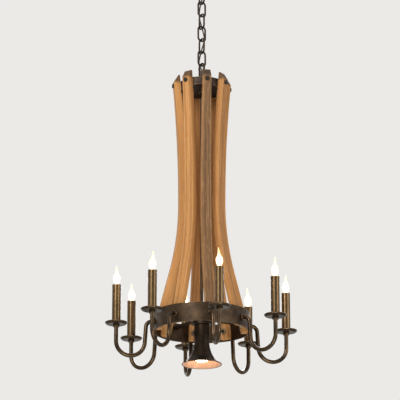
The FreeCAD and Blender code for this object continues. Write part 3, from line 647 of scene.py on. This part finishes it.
def cordFinish():
    # woven jacket: two families of threads that cross round the cord, on its own UV map
    finish, tree, shader = newFinish("cordJacket")
    woven = put(tree, "ShaderNodeUVMap", set_uv_map="cordWrap").outputs["UV"]
    parts = put(tree, "ShaderNodeSeparateXYZ", Vector=woven).outputs
    turn = times(tree, parts["X"], jacket["threadsRound"])
    run = times(tree, parts["Y"], jacket["threadsAlong"])
    left = calc(tree, "SINE", times(tree, calc(tree, "ADD", run, turn), 2.0 * math.pi))
    right = calc(tree, "SINE", times(tree, calc(tree, "SUBTRACT", run, turn), 2.0 * math.pi))
    thread = calc(tree, "MAXIMUM", left, right)
    tint = noiseValue(tree, objectCoord(tree), jacket["tintScale"])
    colour = blendColour(tree, spread(tree, thread, 0.0, 1.0), jacket["gap"], jacket["thread"])
    colour = blendColour(tree, spread(tree, tint, *jacket["tintPatch"]), colour, jacket["tint"])
    paint(tree, shader, Base_Color=colour, Roughness=spread(tree, thread, 0.0, 1.0, *jacket["rough"]))
    roughen(tree, shader, thread, *jacket["bump"])
    return finish


lampLight = {
    "glass": (1.0, 0.88, 0.66, 1.0),
    "glassRough": (0.02, 0.10),
    "glassBend": 1.45,  # index of refraction
    "rim": (1.0, 0.46, 0.12, 1.0),
    "glow": (1.0, 0.74, 0.40, 1.0),
    "glowLevel": 0.75,
    "hazeScale": 260.0,
    "haze": (0.3, 0.7),
    "hazeShare": 0.3,
    "hotShare": 0.3,  # this share of the reach keeps the full glow
    "flameHot": 0.040,  # height of the hottest place above the lamp's foot
    "flameReach": 0.034,
    "downReach": 0.050,
    "filament": (1.0, 0.84, 0.58, 1.0),
    "filamentLevel": 14.0,
    "filamentFlicker": 400.0,
    "face": (1.0, 0.86, 0.64, 1.0),
    "faceLevel": 24.0,
    "faceFlicker": 60.0,
    "flickerShare": 0.35,
    "glowRough": 0.6,
}


def glassFinish(name, hot, reach):
    # glass that glows round its hot height and turns amber away from it
    finish, tree, shader = newFinish(name)
    coord = objectCoord(tree)
    haze = noiseValue(tree, coord, lampLight["hazeScale"], detail=3.0)
    height = put(tree, "ShaderNodeSeparateXYZ", Vector=coord).outputs["Z"]
    away = calc(tree, "ABSOLUTE", calc(tree, "SUBTRACT", height, hot))
    cloud = spread(tree, haze, *lampLight["haze"], 0.0, lampLight["hazeShare"])
    glow = blendColour(tree, cloud, lampLight["glow"], lampLight["filament"])
    amber = spread(tree, away, reach * lampLight["hotShare"], reach)
    glow = blendColour(tree, amber, glow, lampLight["rim"])
    paint(tree, shader, Base_Color=lampLight["glass"], IOR=lampLight["glassBend"], Transmission_Weight=1.0,
          Roughness=spread(tree, haze, *lampLight["haze"], *lampLight["glassRough"]),
          Emission_Color=glow, Emission_Strength=lampLight["glowLevel"])
    return finish


def glowFinish(name, kind):
    finish, tree, shader = newFinish(name)
    colour = lampLight[kind]
    flicker = noiseValue(tree, objectCoord(tree), lampLight[f"{kind}Flicker"], detail=3.0)
    flicker = spread(tree, flicker, *lampLight["haze"], 0.0, lampLight["flickerShare"])
    paint(tree, shader, Base_Color=colour, Roughness=lampLight["glowRough"],
          Emission_Color=blendColour(tree, flicker, colour, lampLight["glow"]),
          Emission_Strength=lampLight[f"{kind}Level"])
    return finish


bandSteel = bandFinish()
tubeBronze = bronzeFinish("tubeBronze")
panBronze = bronzeFinish("panBronze")
sleeveBronze = bronzeFinish("sleeveBronze")
chainBronze = bronzeFinish("chainBronze")
bellBronze = bronzeFinish("bellBronze")
crownBronze = bronzeFinish("crownBronze")
zincPlate = fittingFinish("zincPlate")
blackSteel = fittingFinish("blackSteel")
copperLining = copperFinish()
lampBrass = fittingFinish("lampBrass")
socketPlastic = fittingFinish("socketPlastic")
cordJacket = cordFinish()
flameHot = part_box("bulb_1")[0].z + lampLight["flameHot"]
flameGlass = glassFinish("flameGlass", flameHot, lampLight["flameReach"])
downGlass = glassFinish("downGlass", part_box("downlight_bulb")[0].z, lampLight["downReach"])
flameGlow = glowFinish("flameGlow", "filament")
faceGlow = glowFinish("faceGlow", "face")
print("finishes ready")


# Mesh helpers

meshCare = {
    "weld": 2e-6,  # corners of CAD triangles closer than this are one
    "merge": 1e-6,
    "flat": 0.4,  # degrees between faces that make one flat
    "sharp": 38.0,  # steeper edges are broken
    "crease": 35.0,  # steeper edges are shaded sharp
    "threadCrease": 50.0,
    "roundSteps": 2,
    "beadTurn": 30,  # degrees between the points of a bead's outline
    "threadSteps": 6,
}


def newPiece(name, bm, finish, crease):
    mesh = bpy.data.meshes.new(name)
    bm.to_mesh(mesh)
    bm.free()
    mesh.materials.append(finish)
    mesh.shade_smooth()
    mesh.set_sharp_from_angle(angle=math.radians(crease))
    piece = bpy.data.objects.new(name, mesh)
    bpy.context.scene.collection.objects.link(piece)
    return piece


def addPiece(name, bm, finish, body, replaced, crease=meshCare["crease"]):
    piece = newPiece(name, bm, finish, crease)
    weighted = piece.modifiers.new("evenShading", "WEIGHTED_NORMAL")
    weighted.keep_sharp = True
    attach(piece, body)
    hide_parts(replaced)
    return piece


def dressedCopy(node, edgeRound, sharp=meshCare["sharp"], steps=meshCare["roundSteps"]):
    # the CAD shape with its triangles merged, its flats cleaned and its edges broken
    bm = bmesh.new()
    bm.from_mesh(nodes[node].data)
    bmesh.ops.remove_doubles(bm, verts=bm.verts, dist=meshCare["weld"])
    bmesh.ops.dissolve_limit(bm, angle_limit=math.radians(meshCare["flat"]), verts=bm.verts,
                             edges=bm.edges)
    edges = [edge for edge in bm.edges
             if len(edge.link_faces) == 2 and edge.calc_face_angle(0.0) > math.radians(sharp)]
    bmesh.ops.bevel(bm, geom=edges, offset=edgeRound, offset_type="OFFSET", segments=steps, profile=0.5,
                    affect="EDGES", clamp_overlap=True, material=-1)
    return bm


def dress(node, finish, edgeRound):
    bm = dressedCopy(node, edgeRound)
    addPiece(f"{node}_dressed", bm, finish, nodes[node]["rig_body"], node)


def cutLevel(bm, height, side=1.0, clear=False):
    # cuts a mesh at a height, clears what lies on that side if asked, and gives the edges of the cut
    made = bmesh.ops.bisect_plane(bm, geom=bm.verts[:] + bm.edges[:] + bm.faces[:], dist=meshCare["merge"],
                                  plane_co=(0.0, 0.0, height), plane_no=(0.0, 0.0, side), clear_outer=clear)
    return [item for item in made["geom_cut"] if isinstance(item, bmesh.types.BMEdge)]


def turned(bm, outline, centre, steps, closed=False):
    # spins an outline of (radius, height) points round a vertical axis at centre
    verts = [bm.verts.new((centre[0] + radius, centre[1], height)) for radius, height in outline]
    pairs = list(zip(verts, verts[1:]))
    if closed:
        pairs.append((verts[-1], verts[0]))
    edges = [bm.edges.new(pair) for pair in pairs]
    bmesh.ops.spin(bm, geom=verts + edges, cent=(centre[0], centre[1], 0.0), axis=(0.0, 0.0, 1.0),
                   angle=2.0 * math.pi, steps=steps, use_merge=True)


def closeUp(bm):
    bmesh.ops.remove_doubles(bm, verts=bm.verts, dist=meshCare["merge"])
    bmesh.ops.recalc_face_normals(bm, faces=bm.faces)


def addTurned(name, outline, centre, steps, finish, body, node, crease=meshCare["crease"], closed=False):
    # a lamp's piece, spun from its outline
    bm = bmesh.new()
    turned(bm, outline, centre, steps, closed)
    closeUp(bm)
    addPiece(name, bm, finish, body, node, crease)


def addBead(bm, radius, height, bead, centre, steps):
    # a rolled bead round a rim, as thick as a wire of radius bead
    turns = [math.radians(turn) for turn in range(0, 360, meshCare["beadTurn"])]
    outline = [(radius + bead * math.cos(turn), height + bead * math.sin(turn)) for turn in turns]
    turned(bm, outline, centre, steps, closed=True)


def addThreads(outline, outer, thread, foot, stop):
    # rolled threads on an outline, from foot until stop is passed; gives the height that they reach
    steps = meshCare["threadSteps"]
    height = foot
    while height < stop:
        for step in range(steps):
            swell = math.sin(math.pi * step / steps) * thread["depth"]
            outline.append((outer - thread["depth"] + swell, height + thread["pitch"] * step / steps))
        height += thread["pitch"]
    return height


def standAngle(number):
    return math.radians(360.0 / armCount * (number - 1) - 90.0)


# Ceiling end and chain

ceilingPieces = {
    # finish and round of the edges of each node
    "mounting_bar": (zincPlate, 0.0005),
    "bar_nut": (zincPlate, 0.0006),
    "canopy_nipple": (zincPlate, 0.0004),
    "canopy_nut": (tubeBronze, 0.0009),
    "canopy_loop": (chainBronze, 0.0009),
}
canopy = {"edge": 0.0006, "rimBead": 0.0016, "beadSteps": 72}


def addCanopy():
    bm = dressedCopy("canopy", canopy["edge"])
    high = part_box("canopy")[1]
    bead = canopy["rimBead"]
    addBead(bm, high.x - bead, high.z - bead, bead, (0.0, 0.0), canopy["beadSteps"])
    closeUp(bm)
    addPiece("canopy_dressed", bm, crownBronze, "ceiling_mount", "canopy")


chain = {
    "edge": 0.0006,
    "loopEdge": 0.0009,
    "weldLength": 0.0045,
    "weldRise": 0.00045,
    "weldBand": 1e-5,  # corners this close to the weld's middle are lifted
}


def addLink(number):
    node = f"chain_link_{number}"
    bm = dressedCopy(node, chain["edge"])
    low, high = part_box(node)
    middle = (low + high) / 2.0
    # the butt weld stands proud half-way down one side
    for rise in (-chain["weldLength"] / 2.0, 0.0, chain["weldLength"] / 2.0):
        cutLevel(bm, middle.z + rise)
    wide = max((vert.co - middle).xy.length for vert in bm.verts)
    for vert in bm.verts:
        across = (vert.co - middle).xy
        if abs(vert.co.z - middle.z) < chain["weldBand"] and across.x + across.y > 0.0:
            vert.co.xy += across.normalized() * chain["weldRise"] * min(1.0, across.length / wide)
    addPiece(f"{node}_dressed", bm, chainBronze, f"link_{number}", node)


for node, (finish, edgeRound) in ceilingPieces.items():
    dress(node, finish, edgeRound)
addCanopy()
for number in range(1, linkCount + 1):
    addLink(number)
dress("hang_loop", chainBronze, chain["loopEdge"])
print("ceiling end and chain ready")


# Lamp cord, woven through the links

cord = {
    "radius": 0.0022,
    "offset": 0.0076,
    "endReach": 0.0096,  # the first and last contact lie further out, clear of the link's end
    "turn": 22.5,
    "top": 0.0,
    "collarRun": -0.0356,  # about six diameters above the corner
    "collarFoot": -0.0620,
    "firstContact": -0.07485,
    "pitch": 0.0431,
    "contacts": 8,
    "hangTop": -0.3894,
    "hangRun": -0.4158,
    "foot": -0.4514,
    "sides": 14,
    "smoothness": 10,
    "bendHalf": 0.008,
}


def cordRoute():
    route = [Vector((0.0, 0.0, cord[key])) for key in ("top", "collarRun", "collarFoot")]
    turn = Matrix.Rotation(math.radians(cord["turn"]), 3, "Z")
    sideX, sideY = 1.0, 1.0
    for step in range(cord["contacts"]):
        height = cord["firstContact"] - cord["pitch"] * step
        reach = cord["endReach"] if step in (0, cord["contacts"] - 1) else cord["offset"]
        aside = Vector((sideX * cord["offset"], sideY * reach, 0.0))
        route.append(turn @ aside + Vector((0.0, 0.0, height)))
        if step % 2 == 0:
            sideY = -sideY
        else:
            sideX = -sideX
    route += [Vector((0.0, 0.0, cord[key])) for key in ("hangTop", "hangRun", "foot")]
    return route


def cordLine():
    data = bpy.data.curves.new("cordLine", "CURVE")
    data.dimensions = "3D"
    data.resolution_u = cord["smoothness"]
    route = cordRoute()
    spline = data.splines.new("NURBS")
    spline.points.add(len(route) - 1)
    for point, place in zip(spline.points, route):
        point.co = (*place, 1.0)
    spline.order_u = 3
    spline.use_endpoint_u = True
    line = bpy.data.objects.new("cordLine", data)
    bpy.context.scene.collection.objects.link(line)
    bpy.context.view_layer.update()
    mesh = bpy.data.meshes.new_from_object(line)
    places = [vert.co.copy() for vert in mesh.vertices]
    bpy.data.objects.remove(line)
    return places


def cordFrame(places, index):
    # place and heading of one step of the line
    aim = (places[min(index + 1, len(places) - 1)] - places[max(index - 1, 0)]).normalized()
    side = Vector((0.0, 1.0, 0.0)).cross(aim).normalized()
    turn = Matrix((side, aim.cross(side), aim)).transposed()
    return Matrix.Translation(places[index]) @ turn.to_4x4()


def cordTube():
    # a circle is extruded step by step down the line; the wrap runs round and along it
    places = cordLine()
    bm = bmesh.new()
    wrap = bm.loops.layers.uv.new("cordWrap")
    share = bm.verts.layers.float.new("roundShare")
    along = bm.verts.layers.float.new("alongRun")
    here = cordFrame(places, 0)
    bmesh.ops.create_circle(bm, cap_ends=True, segments=cord["sides"], radius=cord["radius"], matrix=here)
    bm.verts.ensure_lookup_table()
    for step, vert in enumerate(bm.verts):
        vert[share] = step / cord["sides"]
    rim = bm.edges[:]
    walked = 0.0
    for index in range(1, len(places)):
        walked += (places[index] - places[index - 1]).length
        following = cordFrame(places, index)
        made = bmesh.ops.extrude_edge_only(bm, edges=rim)["geom"]
        fresh = [item for item in made if isinstance(item, bmesh.types.BMVert)]
        rim = [item for item in made if isinstance(item, bmesh.types.BMEdge) and item.verts[0] in fresh
               and item.verts[1] in fresh]
        bmesh.ops.transform(bm, matrix=following @ here.inverted(), verts=fresh)
        for vert in fresh:
            vert[along] = walked
        here = following
    bmesh.ops.contextual_create(bm, geom=rim)
    for face in bm.faces:
        turns = [loop.vert[share] for loop in face.loops]
        for loop, turn in zip(face.loops, turns):
            crossing = max(turns) - turn > 0.5  # the last side closes the round
            loop[wrap].uv = (turn + 1.0 if crossing else turn, loop.vert[along])
    bmesh.ops.recalc_face_normals(bm, faces=bm.faces)
    return bm


def addCord():
    swings = [joint for joint in frame["joints"] if joint["type"] == "hinge"]
    pivots = [joint["pos_m"][2] for joint in swings]
    cuts = [(above + below) / 2.0 for above, below in zip(pivots, pivots[1:])]
    whole = cordTube()
    # a run for each hinge, from the cut above it to the cut below it
    for number, (joint, top, foot) in enumerate(zip(swings, [None] + cuts, cuts + [None]), 1):
        bm = whole.copy()
        for height, side in ((top, 1.0), (foot, -1.0)):
            if height is not None:
                bmesh.ops.contextual_create(bm, geom=cutLevel(bm, height, side, clear=True))
        bmesh.ops.recalc_face_normals(bm, faces=bm.faces)
        piece = newPiece(f"lamp_cord_run_{number}", bm, cordJacket, meshCare["crease"])
        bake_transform(piece)
        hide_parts("lamp_cord")
    whole.free()


addCord()
print("lamp cord ready")


# Staves

stave = {
    "edge": 0.0013,
    "edgeSteps": 3,
    "sharp": 30.0,
    "cutPitch": 0.011,
    "cutStop": 0.04,  # no cuts this close to the top
    "waver": 0.00035,  # depth of the unevenness and its length down the stave
    "waverLength": 0.09,
    "waverWidth": 0.125,
    "waverSeed": 7.3,
    # the outer face, as the CAD has it
    "waistDrop": 0.430,
    "waistRadius": 0.0735,
    "upperCurve": 4.110,
    "lowerCurve": 0.875,
    "flare": 14.5,
    "sideTurn": 0.9,  # faces that look further sideways than this are jointed sides
}
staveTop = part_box("stave_1")[1].z


def staveOutside(height):
    # radius of the stave's outer face at a height
    rise = height - staveTop + stave["waistDrop"]
    if rise > 0.0:
        bend = stave["upperCurve"]
        return stave["waistRadius"] + bend - math.sqrt(bend * bend - rise * rise)
    bend = stave["lowerCurve"]
    reach = bend * math.sin(math.radians(stave["flare"]))
    if -rise < reach:
        return stave["waistRadius"] + bend - math.sqrt(bend * bend - rise * rise)
    straight = (-rise - reach) * math.tan(math.radians(stave["flare"]))
    return stave["waistRadius"] + bend * (1.0 - math.cos(math.radians(stave["flare"]))) + straight


def addStave(number):
    node = f"stave_{number}"
    low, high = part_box(node)
    bm = dressedCopy(node, stave["edge"], stave["sharp"], stave["edgeSteps"])
    height = low.z + stave["cutPitch"]
    while height < high.z - stave["cutStop"]:
        cutLevel(bm, height)
        height += stave["cutPitch"]
    mark = bm.verts.layers.float_vector.new("staveCoord")
    sawn = bm.faces.layers.float.new("staveSide")
    facing = Matrix.Rotation(-standAngle(number), 3, "Z")
    for face in bm.faces:
        face[sawn] = 1.0 if abs((facing @ face.normal).y) > stave["sideTurn"] else 0.0
    for vert in bm.verts:
        local = facing @ vert.co  # x outwards, y across the stave
        depth = staveOutside(vert.co.z) - local.x
        vert[mark] = (local.y, depth, high.z - vert.co.z)
        wave = noise.noise(Vector((number * stave["waverSeed"], local.y / stave["waverWidth"],
                                   vert.co.z / stave["waverLength"])))
        vert.co += vert.normal * wave * stave["waver"]
    addPiece(f"{node}_oak", bm, oakFinish(number), "fixture", node)


for number in range(1, armCount + 1):
    addStave(number)
print("staves ready")


# Crown, stem, ring and arms

fixturePieces = {
    # finish and round of the edges of each node
    "crown_pan": (crownBronze, 0.0008),
    "crown_nuts": (blackSteel, 0.0005),
    "crown_bolts": (blackSteel, 0.0006),
    "stem": (tubeBronze, 0.0005),
    "stem_nuts": (zincPlate, 0.0006),
    "ring_band": (bandSteel, 0.0008),
    "ring_cross": (bandSteel, 0.0006),
    "arm_nuts": (zincPlate, 0.0006),
    "pan_nuts": (zincPlate, 0.0005),
    "candle_sockets": (socketPlastic, 0.0005),
    "downlight_fitter": (bellBronze, 0.0008),
    "downlight_socket": (socketPlastic, 0.0006),
}
arm = {"edge": 0.0007}
for node, (finish, edgeRound) in fixturePieces.items():
    dress(node, finish, edgeRound)
for number in range(1, armCount + 1):
    dress(f"arm_{number}", tubeBronze, arm["edge"])

candle = {
    "circle": 0.270,
    "panEdge": 0.0004,
    "panBead": 0.0013,
    "panDrop": 0.5,  # the bead's middle lies this many bead radii below the pan's top
    "panSteps": 48,
    "sleeveEdge": 0.0003,
    "sleeveBead": 0.0007,
    "sleeveInset": 3.0,  # bead radii from an end of the sleeve
    "sleeveSteps": 40,
}


def candlePlace(number):
    turn = standAngle(number)
    return (candle["circle"] * math.cos(turn), candle["circle"] * math.sin(turn))


def addBeaded(node, finish, edgeRound, bead, steps, rims):
    # the eight pans or sleeves of one node, with a bead at each rim of (radius, height)
    bm = dressedCopy(node, edgeRound)
    for number in range(1, armCount + 1):
        for radius, height in rims:
            addBead(bm, radius, height, bead, candlePlace(number), steps)
    closeUp(bm)
    addPiece(f"{node}_dressed", bm, finish, "fixture", node)


def addCandles():
    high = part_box("drip_pans")[1]
    bead = candle["panBead"]
    rims = [(high.x - candle["circle"] - bead, high.z - bead * candle["panDrop"])]
    addBeaded("drip_pans", panBronze, candle["panEdge"], bead, candle["panSteps"], rims)
    low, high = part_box("candle_sleeves")
    bead = candle["sleeveBead"]
    inset = bead * candle["sleeveInset"]
    rims = [(high.x - candle["circle"], height) for height in (high.z - inset, low.z + inset)]
    addBeaded("candle_sleeves", sleeveBronze, candle["sleeveEdge"], bead, candle["sleeveSteps"], rims)


addCandles()
print("crown, ring, arms and candles ready")


# Flame-tip lamps

flame = {
    "neckRadius": 0.0056,
    "bellyRadius": 0.0110,
    "waistRadius": 0.0036,
    "tipRadius": 0.0009,
    "tipCap": 0.6,  # height of the closed tip, in tip radii
    "baseLength": 0.019,
    "belly": 0.0225,  # heights above the base
    "waist": 0.0457,
    "length": 0.0625,
    "easeSteps": 8,
    "tipLean": 0.0035,
    "leanTurn": 2.4,  # radians from one lamp's lean to the next one's
    "spinSteps": 32,
    "coreRadius": 0.0030,
    "coreLow": 0.010,
    "coreHigh": 0.034,
    "coreTurn": 15,  # degrees between the points of the core's outline
    "coreSteps": 20,
}
flameBase = {
    "contact": ((0.0, 0.0), (0.45, 0.0), (0.5, 0.0015), (0.9, 0.003)),  # share of the radius, height
    "threadFoot": 0.004,
    "pitch": 0.0022,
    "depth": 0.0006,
    "plainPitches": 1.5,  # left plain below the glass
    "collar": 0.0008,
    "cap": 0.0004,
    "spinSteps": 28,
}


def flameOutline():
    # radius of the glass from its neck to its tip, eased between belly, waist and tip
    stations = ((0.0, flame["neckRadius"]), (flame["belly"], flame["bellyRadius"]),
                (flame["waist"], flame["waistRadius"]), (flame["length"], flame["tipRadius"]))
    outline = [(0.0, 0.0)]  # the glass is closed where it sits in the base
    for (foot, footRadius), (head, headRadius) in zip(stations, stations[1:]):
        for step in range(flame["easeSteps"]):
            share = step / flame["easeSteps"]
            ease = share * share * (3.0 - 2.0 * share)
            outline.append((footRadius + (headRadius - footRadius) * ease, foot + (head - foot) * share))
    outline.append((flame["tipRadius"], flame["length"]))
    outline.append((0.0, flame["length"] + flame["tipRadius"] * flame["tipCap"]))
    return outline


def addFlameGlass(number, shoulder, top):
    outline = flameOutline()
    scale = (top - shoulder) / outline[-1][1]
    bm = bmesh.new()
    turned(bm, [(radius, shoulder + height * scale) for radius, height in outline], candlePlace(number),
           flame["spinSteps"])
    closeUp(bm)
    # the tip leans to another side on each lamp
    leanTurn = number * flame["leanTurn"]
    lean = Vector((math.cos(leanTurn), math.sin(leanTurn), 0.0)) * flame["tipLean"]
    leanLength = flame["length"] - flame["belly"]
    for vert in bm.verts:
        rise = max(0.0, (vert.co.z - shoulder) / scale - flame["belly"]) / leanLength
        vert.co += lean * rise * rise
    body = f"candle_lamp_{number}"
    addPiece(f"flame_glass_{number}", bm, flameGlass, body, f"bulb_{number}")


def addFlameCore(number, shoulder):
    middle = shoulder + (flame["coreHigh"] + flame["coreLow"]) / 2.0
    half = (flame["coreHigh"] - flame["coreLow"]) / 2.0
    turns = [math.radians(turn) for turn in range(-90, 91, flame["coreTurn"])]
    outline = [(flame["coreRadius"] * math.cos(turn), middle + half * math.sin(turn)) for turn in turns]
    addTurned(f"flame_core_{number}", outline, candlePlace(number), flame["coreSteps"], flameGlow,
              f"candle_lamp_{number}", f"bulb_{number}")


def addFlameBase(number, foot, shoulder):
    outer = flame["neckRadius"]
    outline = [(outer * share, foot + rise) for share, rise in flameBase["contact"]]
    stop = shoulder - flameBase["pitch"] * flameBase["plainPitches"]
    head = addThreads(outline, outer, flameBase, foot + flameBase["threadFoot"], stop)
    outline += [(outer - flameBase["depth"], head), (outer, head + flameBase["collar"]), (outer, shoulder),
                (0.0, shoulder + flameBase["cap"])]
    addTurned(f"flame_base_{number}", outline, candlePlace(number), flameBase["spinSteps"], lampBrass,
              f"candle_lamp_{number}", f"bulb_{number}", meshCare["threadCrease"])


for number in range(1, armCount + 1):
    bulbLow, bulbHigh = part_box(f"bulb_{number}")
    bulbShoulder = bulbLow.z + flame["baseLength"]
    addFlameGlass(number, bulbShoulder, bulbHigh.z)
    addFlameCore(number, bulbShoulder)
    addFlameBase(number, bulbLow.z, bulbShoulder)
print("flame-tip lamps ready")


# Downlight

bell = {
    "edge": 0.0004,
    "lipBead": 0.0015,
    "lipSteps": 96,
    "liningTurn": -0.05,  # faces that look further inwards than this are lined
    "liningDrop": 0.004,  # the lining stops this far below the top
}
downLamp = {
    "baseLength": 0.022,
    "neckRadius": 0.0095,
    "wall": 0.0008,
    "funnelSteps": 10,
    "rimRise": 0.010,
    "faceSag": 0.0085,
    "faceBack": 0.002,
    "faceTurn": 9,  # degrees between the points of the face's outline
    "spinSteps": 48,
}
downBase = {
    "radius": 0.0080,
    "threadFoot": 0.002,
    "threadStop": 0.005,
    "pitch": 0.0036,
    "depth": 0.0009,
    "contact": ((0.8, 0.003), (0.4, 0.0015), (0.4, 0.0), (0.0, 0.0)),  # share of the radius, drop
    "spinSteps": 32,
}


def addBell():
    bm = dressedCopy("downlight_bell", bell["edge"])
    low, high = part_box("downlight_bell")
    for face in bm.faces:
        middle = face.calc_center_median()
        outwards = Vector((middle.x, middle.y, 0.0)).normalized()
        inside = face.normal.dot(outwards) < bell["liningTurn"]
        face.material_index = 1 if inside and middle.z < high.z - bell["liningDrop"] else 0
    bead = bell["lipBead"]
    start = set(bm.faces)
    addBead(bm, high.x - bead, low.z + bead, bead, (0.0, 0.0), bell["lipSteps"])
    for face in bm.faces:
        if face not in start:
            face.material_index = 0
    closeUp(bm)
    node = "downlight_bell"
    piece = addPiece(f"{node}_dressed", bm, bellBronze, "fixture", node)
    piece.data.materials.append(copperLining)


def addDownLamp():
    node = "downlight_bulb"
    body = "down_lamp"
    middle = (0.0, 0.0)
    low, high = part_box(node)
    radius = (high.x - low.x) / 2.0
    shoulder = high.z - downLamp["baseLength"]
    rim = low.z + downLamp["rimRise"]
    # reflector glass: curved funnel from the neck to the rim, and back along its inner wall
    neck = downLamp["neckRadius"]
    funnel = []
    for step in range(downLamp["funnelSteps"] + 1):
        share = step / downLamp["funnelSteps"]
        reach = neck + (radius - neck) * math.sin(share * math.pi / 2.0)
        funnel.append((reach, shoulder + (rim - shoulder) * share))
    funnel += [(reach - downLamp["wall"], height) for reach, height in reversed(funnel)]
    steps = downLamp["spinSteps"]
    addTurned("down_lamp_reflector", funnel, middle, steps, downGlass, body, node, closed=True)
    # lit face, domed between the rim and the lowest point
    turns = [math.radians(turn) for turn in range(0, 91, downLamp["faceTurn"])]
    dome = [(0.0, rim + downLamp["faceBack"])]
    dome += [(radius * math.cos(turn), rim - downLamp["faceSag"] * math.sin(turn)) for turn in turns]
    addTurned("down_lamp_face", dome, middle, steps, faceGlow, body, node)
    # screw base
    outer = downBase["radius"]
    outline = [(0.0, shoulder), (outer, shoulder)]
    foot = shoulder + downBase["threadFoot"]
    addThreads(outline, outer, downBase, foot, high.z - downBase["threadStop"])
    outline += [(outer * share, high.z - drop) for share, drop in downBase["contact"]]
    addTurned("down_lamp_base", outline, middle, downBase["spinSteps"], lampBrass, body, node,
              meshCare["threadCrease"])


addBell()
addDownLamp()
print("downlight ready")
